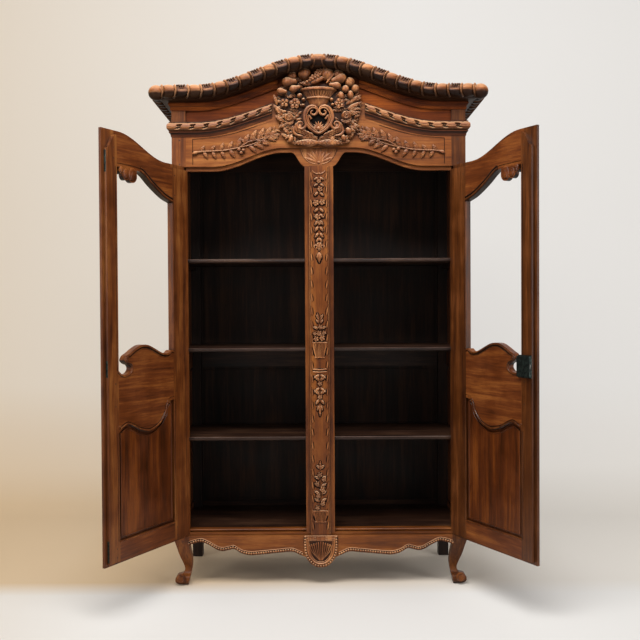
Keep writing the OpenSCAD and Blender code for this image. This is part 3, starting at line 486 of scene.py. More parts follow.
# Near black for cuts, quirks, gouges and holes: painted shade where these hollows fall dark
SHADE_BLACK = waxed_wood("near_black_painted_shade", "050302", "090504", "0f0906", "Z", rough=0.8, coat=0.0,
    shine=0.1)
# The plain band and the lines under the crown: dull, with no wax on it, and darker than the carved
# mouldings as painted shade under the crown
COVE = waxed_wood("hollow_band_walnut", "3d1604", "622b0a", "8c4613", "X", rough=0.55, coat=0.0,
    under=0.55, shine=0.12)
# Ground behind the fruit and on the shield: dark brown walnut, painted shade among the carving
GROUND = waxed_wood("basket_ground_painted_shade", "1c0c05", "32190b", "4e2a14", "Z", hollow=0.95,
    coat=0.0, shine=0.15)
# Pegs with their end grain outwards
PEG = waxed_wood("oak_peg_end_grain", "24120a", "452715", "5f3a22", "Z", figure=9, rough=0.5,
    coat=0.0)
# Blackened iron of the lock and the edge plates
IRON = old_metal("blackened_iron", "141a18", "39443f", 0.42, 0.8)
# Polished old steel of the barrel hinges, warm from wax and rust
HINGE_STEEL = old_metal("polished_hinge_steel", "5d4a35", "b7a07d", 0.3)
# Steel of bolts and pins, rubbed grey where it slides
BOLT_STEEL = old_metal("worn_bolt_steel", "3c3a37", "8a8680", 0.35)


def paint(nodes, material):
    """Gives CAD nodes their better material."""
    for node in nodes.split():
        for place in frame["nodes"][node].material_slots:
            place.material = material


# the right post and door take the darker copies, which are painted shade
for name, post, stile in (("left", CASE_UP, DOOR_UP), ("right", CASE_UP_SHADED, DOOR_UP_SHADED)):
    paint(f"{name}_front_post", post)
    # the rear posts take the almost black boards: painted shade on the rear feet under the case
    paint(f"{name}_rear_post", BOARDS_UP)
    paint(f"{name}_side_rails {name}_side_panels", CASE_SIDE)
    paint(f"{name}_shelf_cleats", BOARDS_ACROSS)
    paint(f"{name}_door_hinge_stile {name}_door_lock_stile", stile)
    for rail in ("top", "scrolled", "hanging", "bottom"):
        paint(f"{name}_door_{rail}_rail", DOOR_ACROSS[name])
    paint(f"{name}_door_panel", DOOR_PANEL)
    paint(f"{name}_door_pegs", PEG)
    paint(f"{name}_hinge_post_halves {name}_hinge_door_halves", HINGE_STEEL)
    paint(f"{name}_hinge_pins", BOLT_STEEL)
paint("frieze_board apron door_sill", CASE_ACROSS)
paint("crown_moulding bed_moulding rope_moulding apron_shield", CARVED_ACROSS)
paint("drop_fan basket_carving", CARVED)
paint("shelf_1 shelf_2 shelf_3 bottom_board top_board back_rails", BOARDS_ACROSS)
paint("back_muntin back_panels", BOARDS_UP)
paint("centre_post", CASE_UP)
paint("cornice_board", COVE)
paint("case_pegs", PEG)
paint("lock_case left_edge_plates left_strike_plate", IRON)
paint("lock_bolt left_top_bolt left_bottom_bolt", BOLT_STEEL)


# Repeats by geometry nodes

def repeated(path, unit, count, out, material, last_size=1.0, uneven=0.0, seed=7):
    """Verts and faces of a unit set count times along a path of places. The unit's x runs along
    the path, its z out of the surface."""
    shape = new_object("unit", new_mesh("unit", unit.verts, unit.faces, 1.0))
    tree = bpy.data.node_groups.new("repeat_on_path", "GeometryNodeTree")
    values = {}
    for name, kind, value in (("Path", "Geometry", None), ("Unit", "Object", shape),
            ("Count", "Int", count), ("Out", "Vector", out), ("Last Size", "Float", last_size),
            ("Uneven", "Float", uneven), ("Seed", "Int", seed), ("Finish", "Material", material)):
        socket = tree.interface.new_socket(name, in_out="INPUT", socket_type=f"NodeSocket{kind}")
        values[socket.identifier] = value
    tree.interface.new_socket("Pieces", in_out="OUTPUT", socket_type="NodeSocketGeometry")
    given = add(tree, "NodeGroupInput")
    curve = add(tree, "GeometryNodeMeshToCurve", {"Mesh": given["Path"]})["Curve"]
    points = add(tree, "GeometryNodeCurveToPoints", {"Curve": curve, "Count": given["Count"]},
        mode="COUNT")
    turn = add(tree, "FunctionNodeAxesToRotation", {0: points["Tangent"], 1: given["Out"]},
        primary_axis="X", secondary_axis="Z")[0]
    steps = maths(tree, "MAXIMUM", maths(tree, "SUBTRACT", given["Count"], 1.0), 1.0)
    part = maths(tree, "DIVIDE", add(tree, "GeometryNodeInputIndex")[0], steps)
    size = add(tree, "ShaderNodeMapRange", {"Value": part, "To Min": 1.0,
        "To Max": given["Last Size"]})["Result"]
    chance = add(tree, "FunctionNodeRandomValue", {"Seed": given["Seed"]},
        data_type="FLOAT")["Value"]
    chance = maths(tree, "MULTIPLY_ADD", maths(tree, "SUBTRACT", chance, 0.5), given["Uneven"], 1.0)
    placed = add(tree, "GeometryNodeInstanceOnPoints", {"Points": points["Points"],
        "Instance": add(tree, "GeometryNodeObjectInfo", {0: given["Unit"]})["Geometry"],
        "Rotation": turn, "Scale": maths(tree, "MULTIPLY", size, chance)})[0]
    real = add(tree, "GeometryNodeRealizeInstances", {"Geometry": placed})[0]
    done = add(tree, "GeometryNodeSetMaterial", {"Geometry": real, "Material": given["Finish"]})[0]
    add(tree, "NodeGroupOutput", {"Pieces": done})
    line = bpy.data.meshes.new("path")
    line.from_pydata([tuple(p) for p in path], [(i, i + 1) for i in range(len(path) - 1)], [])
    host = new_object("path", line)
    modifier = host.modifiers.new("repeat", "NODES")
    modifier.node_group = tree
    for identifier, value in values.items():
        if value is not None:
            modifier[identifier] = value
    bpy.context.view_layer.update()
    made = bpy.data.meshes.new_from_object(
        host.evaluated_get(bpy.context.evaluated_depsgraph_get()))
    result = [v.co.copy() for v in made.vertices], [tuple(p.vertices) for p in made.polygons]
    host.modifiers.remove(modifier)
    bpy.data.objects.remove(host)
    bpy.data.objects.remove(shape)
    bpy.data.node_groups.remove(tree)
    bpy.data.meshes.remove(made)
    return result


def barrel(length, radius, shape, rows, cols, shear=0.0):
    """Unit lying along x: shape(t, angle) is the radius at t along it, angle 0 points out (z)."""
    rings = []
    for t in np.arange(rows + 1) / rows:
        ring = []
        for a in circle(cols):
            r = radius * shape(t, a)
            y = r * math.sin(a)
            ring.append((length * (t - 0.5) + shear * y, y, r * math.cos(a)))
        rings.append(ring)
    unit = Carving(on_front())
    unit.tube(rings)
    return unit


# Cornice

def swept(carving, profile, base_z, rise, x0, x1, count, returns):
    """Sweeps an (out, up) profile along the arched front and back from the corners in returns."""
    rings = [[(x, -o, base_z + z + arch(x, rise)) for o, z in profile]
        for x in np.linspace(x0, x1, count)]
    for side in returns:
        corner = [[(side * (HALF_W + o), y or -o, base_z + z) for o, z in profile]
            for y in (0, BACK_Y)]
        rings = corner[::-1] + rings if side < 0 else rings + corner
    carving.tube(rings)


def sized(shares, w, h):
    return [(a * w, b * h) for a, b in shares]


def travelled(path):
    """Distance of each place from the start of its path."""
    return np.cumsum([0.0] + [(Vector(b) - Vector(a)).length for a, b in zip(path, path[1:])])


def notched_lobe(t, a):
    """Lobe with small gouge cuts near its top and a deep hollow under them, on its front."""
    front = (a + math.pi) % (2 * math.pi) - math.pi
    cuts = sum(dip(t, c, 0.05) for c in (0.3, 0.52, 0.74)) * dip(front, -0.62, 0.3)
    scoop = hump(t) ** 0.6 * dip(front, -1.22, 0.36)
    return 0.68 + 0.27 * hump(t) ** 0.4 - 0.22 * cuts - 0.3 * scoop


# Crown: a core with a row of lobes, a smooth one and a gouged one in turn with a ridge between
LOBE_R = 0.43 * CROWN_H
LOBE_L = 52
LEAN = 0.42
LOBE_OUT = CROWN_OUT - LOBE_R
LOBE_Z = CROWN_Z + 0.57 * CROWN_H
STEP = 30.25
core = sized(spline([(0, 0), (0.14, 0), (0.4, 0.1), (0.52, 0.2), (0.66, 0.25), (0.82, 0.36),
    (0.9, 0.56), (0.84, 0.8), (0.68, 0.93), (0.5, 0.97), (0, 1)], 3), CROWN_OUT, CROWN_H)
crown = Carving(lambda x, y, z: Vector((x, y, z)))
swept(crown, core, CROWN_Z, ARCH_RISE, -ARCH_HALF, ARCH_HALF, 73, (-1, 1))
side_x = HALF_W + LOBE_OUT
front_run = [Vector((x, -LOBE_OUT, LOBE_Z + arch(x, ARCH_RISE)))
    for x in np.linspace(0, side_x, 1600)]
front_run = [p for p, d in zip(front_run, travelled(front_run)) if d <= 25 * STEP]
side_run = [Vector((side_x, y, LOBE_Z)) for y in (1.1 * STEP, 18.1 * STEP)]
smooth_unit = barrel(LOBE_L + 1, LOBE_R * 1.05, lambda t, a: 0.72 + 0.3 * hump(t) ** 0.45, 12, 18,
    LEAN)
notched_unit = barrel(LOBE_L, LOBE_R * 1.04, notched_lobe, 26, 26, LEAN)
ridge_unit = barrel(7, LOBE_R * 1.16, lambda t, a: 0.86 + 0.14 * hump(t), 4, 18, LEAN)
gouge_unit = Carving(on_front())


def on_lobe(t, front, share):
    """Place on a lobe: t along it, the angle from top to front, a share of its radius."""
    out = LOBE_R * share * math.sin(front)
    return LOBE_L * (t - 0.5) - LEAN * out, LOBE_R * share * math.cos(front), out


for t, front, size in ((0.2, 0.15, 6.5), (0.44, 0.1, 6), (0.66, 0.12, 6), (0.84, 0.15, 5.5)):
    notched_unit.blob(on_lobe(t, front, 0.92), [size] * 3, 5, 8)
# near-black blobs in the gouges, gathered as marks below: painted shade in the cuts
for t, front, size in ((0.3, 0.5, (3, 5.5, 7)), (0.5, 0.62, (4, 4.5, 7)), (0.68, 0.66, (4, 4, 7)),
        (0.84, 0.5, (2.5, 5, 6))):
    gouge_unit.blob(on_lobe(t, front, 0.87), size, 5, 8, -0.5)


def stretch(path, first, last):
    """Part of a path between two distances along it, counted in steps."""
    fine = evenly(path, 2001)
    whole = travelled(fine)[-1] / STEP
    return fine[round(2000 * first / whole):round(2000 * last / whole) + 1]


# each kind of lobe is every fourth one along the row
gouged, ridges, marks = Carving(), Carving(), Carving()
for path, places, order in ((front_run, 26, (0, 1, 2, 3)), (side_run, 18, (2, 3, 0, 1))):
    for carving, unit, kind, finish in ((crown, smooth_unit, 0, CROWN_ROLL),
            (ridges, ridge_unit, 1, RIDGE), (gouged, notched_unit, 2, NOTCHED_ROLL),
            (marks, gouge_unit, 2, SHADE_BLACK), (ridges, ridge_unit, 3, RIDGE)):
        first = order.index(kind)
        count = len(range(first, places, 4))
        row = repeated(stretch(path, first, first + 4 * (count - 1)), unit, count, (0, 0, 1),
            finish)
        carving.add(*row, mirrored=True)
gouged.piece("crown_gouged_lobes", NOTCHED_ROLL, "case", "moulding_walnut")
ridges.piece("crown_ridges", RIDGE, "case", "moulding_walnut")
marks.piece("crown_gouges", SHADE_BLACK, "case", "moulding_walnut")
corner = CROWN_OUT - 0.54 * CROWN_H
for side in (-1, 1):
    crown.blob((side * (HALF_W + corner), -corner, CROWN_Z + 0.5 * CROWN_H),
        (0.56 * CROWN_H, 0.56 * CROWN_H, 0.53 * CROWN_H), 12, 20)
crown_piece = crown.piece("crown_lobes", CROWN_ROLL, "case", "moulding_walnut")
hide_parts("crown_moulding")

# Bed moulding: fillets and a hollow under the crown, stopped short of the basket
bed_lines = sized([(0, 0), (0.28, 0), (0.3, 0.1), (0.42, 0.13), (0.44, 0.22), (0.3, 0.27),
    (0.34, 0.4), (0.5, 0.52), (0.7, 0.58), (0.72, 0.68), (0.95, 0.7), (1, 0.82), (0.95, 0.92),
    (0.8, 1), (0, 1)], high("bed_moulding").x - HALF_W, BED_H)
bed = Carving()
for side, ends in ((-1, (-ARCH_HALF, -ARCH_HALF / 3)), (1, (ARCH_HALF / 3, ARCH_HALF))):
    swept(bed, bed_lines, low("bed_moulding").z, ARCH_RISE, *ends, 41, (side,))
# the bed lines take the darker band walnut: painted shade under the crown
bed_piece = bed.piece("bed_lines", COVE, "case", "moulding_walnut")
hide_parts("bed_moulding")

# Astragal: a roll cut as a twisted ribbon, over a plain step
ROPE_Z = low("rope_moulding").z
ROPE_OUT = high("rope_moulding").x - HALF_W
ROPE_END = BASKET_HIGH.x * 1.02
ROLL_R = 0.31 * ROPE_H
ROLL_Z = ROPE_Z + 0.66 * ROPE_H
TWIST = 65


def twisted(s, a):
    """Share of the roll's radius at a distance along it and an angle up from the front: two deep
    lens-shaped cuts one over the other, leaning towards the middle of the case, at every twist."""
    depth = 0.0
    for up, lean in ((0.36, -3.2), (-0.34, 3.2)):
        along = (((s - lean) / TWIST + 0.5) % 1.0 - 0.5) * TWIST / 14
        across = (a - up) / 0.24 + 0.55 * along
        depth = max(depth, ease((math.hypot(along, across) - 0.72) / 0.42))
    groove = dip((s + 9 * a) / TWIST % 1.0, 0.5, 0.045) * (abs(a) > 0.62)
    return 1.0 - 0.58 * depth - 0.1 * groove


def rope_ring(x, y, s):
    """Ring of the roll, s along it: on the front where y is 0, mitred at the corner."""
    ring = []
    for a in np.linspace(-math.pi / 2, math.pi / 2, 29):
        r = ROLL_R * twisted(s, a) * min(1.0, ROPE_OUT / ROLL_R + abs(math.sin(a)))
        o = r * math.cos(a)
        ring.append((x + o if x == HALF_W else x, y or -o,
            ROLL_Z + arch(x, ROPE_RISE) + r * math.sin(a)))
    return ring + [(x, y, ring[-1][2]), (x, y, ring[0][2])]


spots = [(x, 0.0) for x in np.linspace(ROPE_END, HALF_W, 210)]
spots += [(HALF_W, y) for y in np.linspace(0, BACK_Y, 200)[1:]]
way = travelled([(x, y, arch(x, ROPE_RISE)) for x, y in spots])
rope = Carving()
rope.tube([rope_ring(x, y, s) for (x, y), s in zip(spots, way)], mirrored=True)
step_lines = sized([(0, 0), (0.14, 0), (0.16, 0.05), (0.2, 0.13), (0.3, 0.2), (0.46, 0.25),
    (0.58, 0.28), (0.6, 0.34), (0.3, 0.38), (0.2, 0.42), (0.2, 0.92), (0.55, 0.94), (0.6, 0.97),
    (0.55, 1), (0, 1)], ROPE_OUT, ROPE_H)
step = Carving()
for side, ends in ((-1, (-ARCH_HALF, -ROPE_END)), (1, (ROPE_END, ARCH_HALF))):
    swept(step, step_lines, ROPE_Z, ROPE_RISE, *ends, 41, (side,))
# dark walnut on the step: painted shade under the rope
step.piece("astragal_step", SHADED_STEP, "case", "moulding_walnut")
rope_piece = rope.piece("ribbon_astragal", CARVED_ACROSS, "case", "moulding_walnut")
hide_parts("rope_moulding")


# Shapes that the carver repeats

def tapered(end):
    """Taper from the full radius to a share of it."""
    return lambda t: 1.0 - (1.0 - end) * t


def turned(carving, start, end, radii, flat=1.0):
    """Round form between two (across, up, out) places with radii along it."""
    a, b = np.array(start, float), np.array(end, float)
    axis = (b - a) / np.linalg.norm(b - a)
    side = np.array([-axis[1], axis[0], 0.0])
    side /= np.linalg.norm(side)
    out = np.cross(axis, side) * flat
    rings = []
    # the samples are nearly even in t, because a radius in metres is small
    for t, r in evenly([(t, r * MM) for t, r in spline(radii, 4)], 13):
        c = a + (b - a) * t
        r = max(r / MM, 0.4)
        rings.append([carving.place(*(c + side * r * math.cos(q) + out * r * math.sin(q)))
            for q in circle(12)])
    carving.tube(rings)


def pear(carving, big, tip, r):
    """Pear lying from its round end to its stalk."""
    a, b = np.array(big, float), np.array(tip, float)
    turned(carving, a - (b - a) / np.linalg.norm(b - a) * r, b,
        [(0, 0.02 * r), (0.06, 0.55 * r), (0.28, r), (0.5, 0.9 * r), (0.72, 0.58 * r),
        (0.93, 0.42 * r), (1, 0.02 * r)])


def arc(centre, r, start, end, count):
    return [(centre[0] + r * math.cos(q), centre[1] + r * math.sin(q))
        for q in np.linspace(start, end, count)]


def apple(carving, u, v, w, r, turn):
    """Round fruit with a cleft: two halves that meet in a shallow groove."""
    for k in (-0.17, 0.17):
        centre = (u + k * r * math.cos(turn), v + k * r * math.sin(turn), w)
        carving.blob(centre, (0.86 * r, r, 0.95 * r), 9, 14, turn)


def flower(carving, u, v, w, r, petals, turn):
    """Open flower: cupped petals round a button."""
    for a in circle(petals):
        a += turn
        pu, pv = u + 0.6 * r * math.cos(a), v + 0.6 * r * math.sin(a)
        carving.blob((pu, pv, w), (0.36 * r, 0.46 * r, 0.42 * r), 6, 10, a - math.pi / 2)
        carving.band(arc((pu, pv), 0.33 * r, a - 1.9, a + 1.9, 9), 0.085 * r, w + 0.3 * r, 5, 1.0)
    carving.blob((u, v, w + 0.28 * r), (0.24 * r, 0.24 * r, 0.26 * r), 6, 10)


def whorl(centre, r0, r1, turns, start):
    """Spiral of (across, up) points from its outer radius to its inner one."""
    out = []
    for t in np.linspace(0, 1, int(abs(turns) * 18) + 3):
        r, a = r0 + (r1 - r0) * t, start + turns * 2 * math.pi * t
        out.append((centre[0] + r * math.cos(a), centre[1] + r * math.sin(a)))
    return out


def rose(carving, u, v, w, r):
    """Rose: a coiled heart over cupped outer petals."""
    turn = 0.1
    carving.blob((u, v, w), (0.86 * r, 0.82 * r, 0.5 * r), 7, 14)
    carving.band(whorl((u, v), 0.66 * r, 0.1 * r, 2.2, turn), 0.12 * r, w + 0.46 * r, 6, 1.1,
        tapered(0.7))
    carving.blob((u, v, w + 0.5 * r), (0.16 * r, 0.16 * r, 0.22 * r), 5, 8)
    for k, reach in ((0, r), (0.3, 1.22 * r)):
        petal = arc((u, v), reach, turn - 2.6 + k, turn - 0.5 - k, 10)
        carving.band(petal, 0.13 * r, w + 0.16 * r, 6, 1.2, lambda t: 0.35 + 0.65 * hump(t))


def ribbed_leaf(carving, root, tip, width, base, lift, ribs):
    """Broad leaf with a sunk midrib and side ribs."""
    du, dv = tip[0] - root[0], tip[1] - root[1]
    angle = math.atan2(dv, du)
    carving.leaf(root, angle, math.hypot(du, dv), width, lift, base, 8)
    for k in range(1, ribs + 1):
        t = k / (ribs + 1.2)
        mu, mv = root[0] + du * t, root[1] + dv * t
        for a in (angle - 0.75, angle + 0.75):
            reach = width * (0.95 - 0.25 * t)
            ru, rv = reach * math.cos(a), reach * math.sin(a)
            rib = [(mu, mv), (mu + 0.6 * ru, mv + 0.55 * rv), (mu + ru, mv + 0.8 * rv)]
            carving.band(rib, 1.1, base + lift * 0.7, 4, 1.0)


# Basket of fruit and flowers. Places: across from the centre line, up from its foot, out
basket = Carving(on_front(0.0, BASKET_LOW.z))
MID_V = 175
ground_line = both_halves(spline([(0, 352), (54, 349), (99, 338), (146, 316), (186, 282),
    (212, 232), (208, 160), (184, 104), (152, 52), (128, 14), (70, 1), (0, 1)], 4))[:-1]


def drawn_in(share):
    return [(u * share, (v - MID_V) * share + MID_V) for u, v in ground_line]


# dark ground behind the fruit: painted shade among the carving
ground = Carving(basket.place)
ground.layers((drawn_in(0.93), 0), (drawn_in(0.93), 6), (drawn_in(0.86), 11), (drawn_in(0.5), 14))
ground.piece("basket_ground", GROUND, "case", "carved_walnut")

# Foliage that closes the outline, and more of it between the fruit and the flowers
for k, (u, v) in enumerate(evenly(drawn_in(0.88), 53)[:-1]):
    out = math.atan2(v - MID_V, u * 1.15)
    lean = out + 0.42 * math.sin(k * 2.4)
    ahead = 0.62 * (35 if v > 30 else 24)
    ribbed_leaf(basket, (u - 16 * math.cos(out), v - 16 * math.sin(out)),
        (u + ahead * math.cos(lean), v + ahead * math.sin(lean)), 9.5, 4 + 4 * (k % 3), 9, 2)
scatter = np.random.default_rng(5)
for k in range(150):
    side = 1 if k % 2 else -1
    u, v = side * scatter.uniform(66, 176), scatter.uniform(30, 322)
    if (u / 205) ** 2 + ((v - MID_V) / 185) ** 2 > 0.86:
        continue
    a = math.atan2(v - MID_V, u) + scatter.uniform(-0.9, 0.9)
    ribbed_leaf(basket, (u, v), (u + 30 * math.cos(a), v + 30 * math.sin(a)), 9,
        scatter.uniform(11, 19), 9, 2)
for fruit in ((-124, 336, 26, 21, 0.3), (-66, 347, 26, 29, 1.2), (43, 340, 28, 30, -0.2),
        (96, 338, 28, 26, -0.6), (149, 304, 28, 22, 0.9), (129, 271, 28, 17, 0.7),
        (175, 274, 24, 18, -0.5)):
    apple(basket, *fruit)
for u0, v0, u1, v1, w, r in ((-150, 305, -98, 308, 32, 23), (-180, 262, -146, 258, 28, 17),
        (-119, 270, -84, 281, 36, 18), (112, 322, 58, 305, 36, 23), (92, 285, 50, 291, 38, 16)):
    pear(basket, (u0, v0, w), (u1, v1, w + 4), r)
for u, v, su, sv, turn in ((109, 241, 15, 21, 0.35), (152, 245, 15, 21, 0.1),
        (-88, 241, 14, 12, 0.0), (-131, 35, 12, 20, -0.3), (119, 40, 12, 18, 0.3),
        (142, 73, 15, 19, 0.5), (-71, 222, 10, 9, 0.0), (-73, 195, 10, 8, 0.2),
        (63, 222, 10, 9, 0.0), (68, 198, 9, 8, 0.2)):
    basket.blob((u, v, 22), (su, sv, 17), 7, 12, turn)

# Bunch of grapes, set by the node tree on a path that folds back and forth
grape = barrel(14.5, 7.4, lambda t, a: max(hump(t), 0.02) ** 0.5, 6, 10)
folds = []
for row in range(5):
    ends = [(-52 + 12 * row, 302 + 13 * row), (10 * row, 328 + 9 * row)]
    folds += ends[::-1] if row % 2 else ends
basket.add(*repeated([basket.place(u, v, 44) for u, v in folds], grape, 23, (0, -1, 0), CARVED,
    1.05, 0.16, 11))
for root, tip, width, base in (((-33, 298), (42, 332), 13, 38), ((-36, 293), (-91, 301), 11, 30),
        ((38, 296), (84, 352), 8, 40), ((58, 300), (30, 336), 8, 36),
        ((-40, 352), (-86, 330), 9, 36), ((132, 202), (206, 246), 14, 14),
        ((139, 180), (208, 214), 13, 14), ((150, 150), (200, 168), 12, 14),
        ((-196, 202), (-212, 252), 11, 14), ((-168, 148), (-214, 204), 15, 14),
        ((-160, 118), (-206, 150), 14, 14), ((-150, 108), (-192, 92), 12, 12),
        ((160, 108), (196, 92), 12, 12), ((-120, 236), (-150, 236), 9, 18),
        ((146, 40), (170, 74), 12, 12), ((-146, 44), (-176, 66), 12, 12),
        ((-96, 172), (-134, 178), 9, 16), ((92, 168), (130, 184), 9, 16)):
    ribbed_leaf(basket, root, tip, width, base, 13, 3)
for side in (-1, 1):
    # the broad leaves that close the group below, each fanned from its foot at the middle
    for root, tip, width, base, lift, ribs in (((4, 46), (116, 48), 15, 12, 13, 5),
            ((2, 22), (122, 20), 23, 14, 15, 6), ((118, 26), (148, 62), 13, 14, 13, 2),
            ((112, 20), (150, 30), 13, 14, 13, 2), ((140, 60), (166, 96), 13, 14, 13, 2)):
        ribbed_leaf(basket, *on_side((root, tip), side), width, base, lift, ribs)
for u, v, r, petals, turn in ((-112, 203, 25, 5, 0.3), (-160, 208, 20, 4, 0.7),
        (101, 203, 25, 5, 0.6)):
    flower(basket, u, v, 27, r, petals, turn)
rose(basket, -139, 137, 28, 25)
rose(basket, 132, 146, 28, 27)

# Bowl of the basket: two corded rims, a fluted band between them and a plain foot
FLUTES = 15
bowl = []
for r, v, wave in ((30, 188, 0.0), (38, 194, 0.0), (44, 206, 0.0), (50, 220, 0.0), (54, 224, 0.0),
        (59, 226, 0.0), (60, 230, 0.0), (57, 233, 0.0), (59, 236, 0.1), (67, 246, 0.16),
        (75, 257, 0.15), (81, 262, 0.03), (86, 264, 0.0), (88, 269, 0.0), (86, 273, 0.0),
        (76, 276, 0.0)):
    ring = []
    for a in np.linspace(0, math.pi, 121):
        rr = r * (1 - wave * abs(math.cos(FLUTES * a)) ** 3)
        ring.append(basket.place(-rr * math.cos(a), v, 10 + rr * 0.68 * math.sin(a)))
    bowl.append(ring)
basket.tube(bowl)

# Heart of two C-scrolls round a pierced hollow, with a bud in its foot
scroll = spline([(0, 63), (21, 72), (45, 92), (61, 116), (67, 143), (60, 169), (42, 188), (21, 190),
    (7, 179), (6, 162), (18, 150), (32, 153), (35, 165), (26, 171)], 5)
inner = spline([(2, 76), (22, 86), (40, 106), (48, 126), (48, 146), (40, 140), (34, 130)], 5)
wing = spline([(112, 96), (118, 74), (104, 56), (76, 52)], 5)
for side in (-1, 1):
    for path, r, base, sides, flat, taper in (
            (scroll, 8.5, 30, 8, 1.2, lambda t: 0.75 + 0.3 * hump(t) - 0.35 * t),
            (inner, 5, 27, 6, 1.2, None),
            ([(u * 0.84, 128 + (v - 128) * 0.86) for u, v in scroll[2:40]], 3, 36, 6, 1.0, None),
            # a curled head beside the heart, and a feathered wing below it
            (whorl((84, 104), 27, 7, 1.2, 2.4), 7, 33, 8, 1.2, tapered(0.5)),
            (wing, 6, 27, 8, 1.2, lambda t: 0.5 + 0.6 * hump(t))):
        basket.band(on_side(path, side), r, base, sides, flat, taper)
    basket.blob((side * 92, 92, 16), (27, 31, 18), 8, 14, side * 0.5)
    for row, (lift, leaves) in enumerate(((34, 5), (29, 6), (24, 6))):
        for k in range(leaves):
            u, v = 104 - 15 * k - 3 * row, 92 - 9 * row - 6.5 * k
            ribbed_leaf(basket, *on_side(((u, v), (u - 23, v - 13)), side), 7, lift - 2 * k, 7, 1)
for angle in (0.35, 0.8, 1.2, 1.57, 1.94, 2.34, 2.79):
    basket.leaf((0, 82), angle, 40 if abs(angle - 1.57) < 0.5 else 34, 8, 12, 28, 6)
basket.blob((0, 84, 30), (12, 11, 13), 7, 12)
basket_piece = basket.piece("basket_of_fruit", CARVED, "case", "carved_walnut")
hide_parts("basket_carving")

# The pierced hollow in the heart: a near-black lens, painted shade in the hole
hollow = Carving(basket.place)
hollow.blob((0, 136, 14), (40, 30, 5), 8, 16, power=0.8)
hollow.piece("heart_hollow", SHADE_BLACK, "case", "carved_walnut")

# Fan of leaves on the drop
FAN_SINK = 6
fan = Carving(on_front(LAP_Y + FAN_SINK, DROP_Z))
fan_h = high("drop_fan").z - DROP_Z
fan_line = both_halves(sized(spline([(0.7, 1), (0.68, 0.86), (0.63, 0.63), (0.54, 0.41),
    (0.4, 0.22), (0.2, 0.1), (0, 0.06)], 4), 1.9 * CENTRE_X, fan_h))
fan.layers((fan_line, 0), (fan_line, 1.5))
for angle in (0.32, 0.66, 1.0, 1.36, 1.78, 2.14, 2.48, 2.82):
    reach = min(0.98 * (fan_h - 18) / math.sin(angle), 75 if abs(angle - 1.57) > 0.8 else 68)
    fan.leaf((6 * math.cos(angle), 17 + 6 * math.sin(angle)), angle, reach, 11, 6.2, 0.4, 7)
for side in (-1, 1):
    fan.band([(side * u * 0.93, v + 2.5) for u, v in fan_line[4:22]], 2.2, 2.5, 6, 1.0)
fan.blob((0, 17, 1), (7, 7, 5), 7, 12)
fan_piece = fan.piece("leaf_fan", CARVED, "case", "carved_walnut")
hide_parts("drop_fan")

# Laurel branches on the frieze, one on each half
branch = Carving()
for side in (-1, 1):
    branch.place = on_front(-1.4, DROP_Z, side)
    for points, r, thin in (([(590, 62), (554, 68), (499, 70), (444, 74), (401, 82), (351, 92),
            (302, 106), (262, 122), (222, 142)], 4.6, 0.55),
            ([(372, 88), (335, 112), (302, 121), (258, 131), (212, 150)], 4, 0.6)):
        branch.band(spline(points, 5), r, 3.4, 8, 1.2, tapered(thin))
    turned(branch, (600, 57, 3), (572, 67, 4), [(0, 4), (0.25, 9), (0.6, 8), (1, 3)])
    for root, tip, width in (((560, 68), (543, 98), 9), ((512, 70), (493, 98), 9),
            ((468, 72), (452, 112), 10), ((430, 78), (408, 118), 11), ((388, 90), (368, 136), 11),
            ((356, 104), (330, 152), 12), ((322, 118), (294, 172), 12),
            ((286, 124), (258, 182), 12), ((252, 134), (226, 186), 11),
            ((232, 142), (196, 172), 11), ((548, 67), (527, 34), 9), ((506, 68), (488, 31), 9),
            ((464, 71), (446, 33), 9), ((424, 76), (398, 38), 10), ((330, 98), (296, 60), 10),
            ((300, 108), (262, 78), 11), ((268, 122), (236, 96), 11), ((240, 134), (206, 118), 11),
            ((346, 106), (372, 130), 8), ((300, 120), (322, 148), 8), ((262, 130), (286, 160), 8),
            ((226, 146), (246, 176), 8), ((222, 132), (190, 132), 9), ((215, 140), (180, 150), 9)):
        ribbed_leaf(branch, root, tip, width * 1.25, 1.4, 8, 2)
    for k in range(26):
        # sprigs that crowd together beside the basket
        t = k / 25
        u, v = 318 - 118 * t, 112 + 40 * t + 22 * math.sin(k * 2.1)
        a = 2.3 + 1.5 * math.sin(k * 1.3)
        ribbed_leaf(branch, (u, v), (u + 24 * math.cos(a), v + 24 * math.sin(a)), 6.5, 2, 8, 1)
    for u, v in ((379, 75), (358, 72), (368, 60)):
        branch.blob((u, v, 6), (9.5, 9.5, 10), 8, 12)
# fine cut line that frames the field of the frieze, beside the laurel: a near-black band of painted
# shade
frieze_cut = Carving(on_front())
for side in (-1, 1):
    for line in ([(600, 2016), (600, 2138)], spline([(600, 2138), (500, 2147), (398, 2167),
            (290, 2201)], 6)):
        frieze_cut.band(on_side(line, side), 1.2, sides=6, flat=0.5)
frieze_cut.piece("frieze_field_cut", SHADE_BLACK, "case", "waxed_walnut", smooth=False)
branch.piece("laurel_branches", CARVED_ACROSS, "case", "carved_walnut")

# Carving on the centre post: an upper bunch, a basket over hanging leaves and a spray at the foot,
# between leaf borders. Places: across from the middle, down from the top of the post, out
POST_H = DROP_Z - low("centre_post").z
post = Carving(lambda u, v, w: Vector((u, -w, DROP_Z - v)))
cuts = Carving(post.place)


def slanted_leaf(length, width, height, shift, side):
    """Border leaf as a unit: shift sets it beside the path, side turns it to the post's edge."""
    outline = ((-1, 0), (-0.55, -0.8), (0.1, -1), (0.7, -0.6), (1, 0), (0.6, 0.75), (0, 1),
        (-0.6, 0.6))
    flat = [(a * length / 2, b * width / 2 + 3.5 * a) for a, b in outline]
    unit = Carving()
    unit.tube([[(x, -side * (y + shift), -1) for x, y in flat],
        [(x * 0.8, -side * (y * 0.55 + shift), height) for x, y in flat]])
    return unit


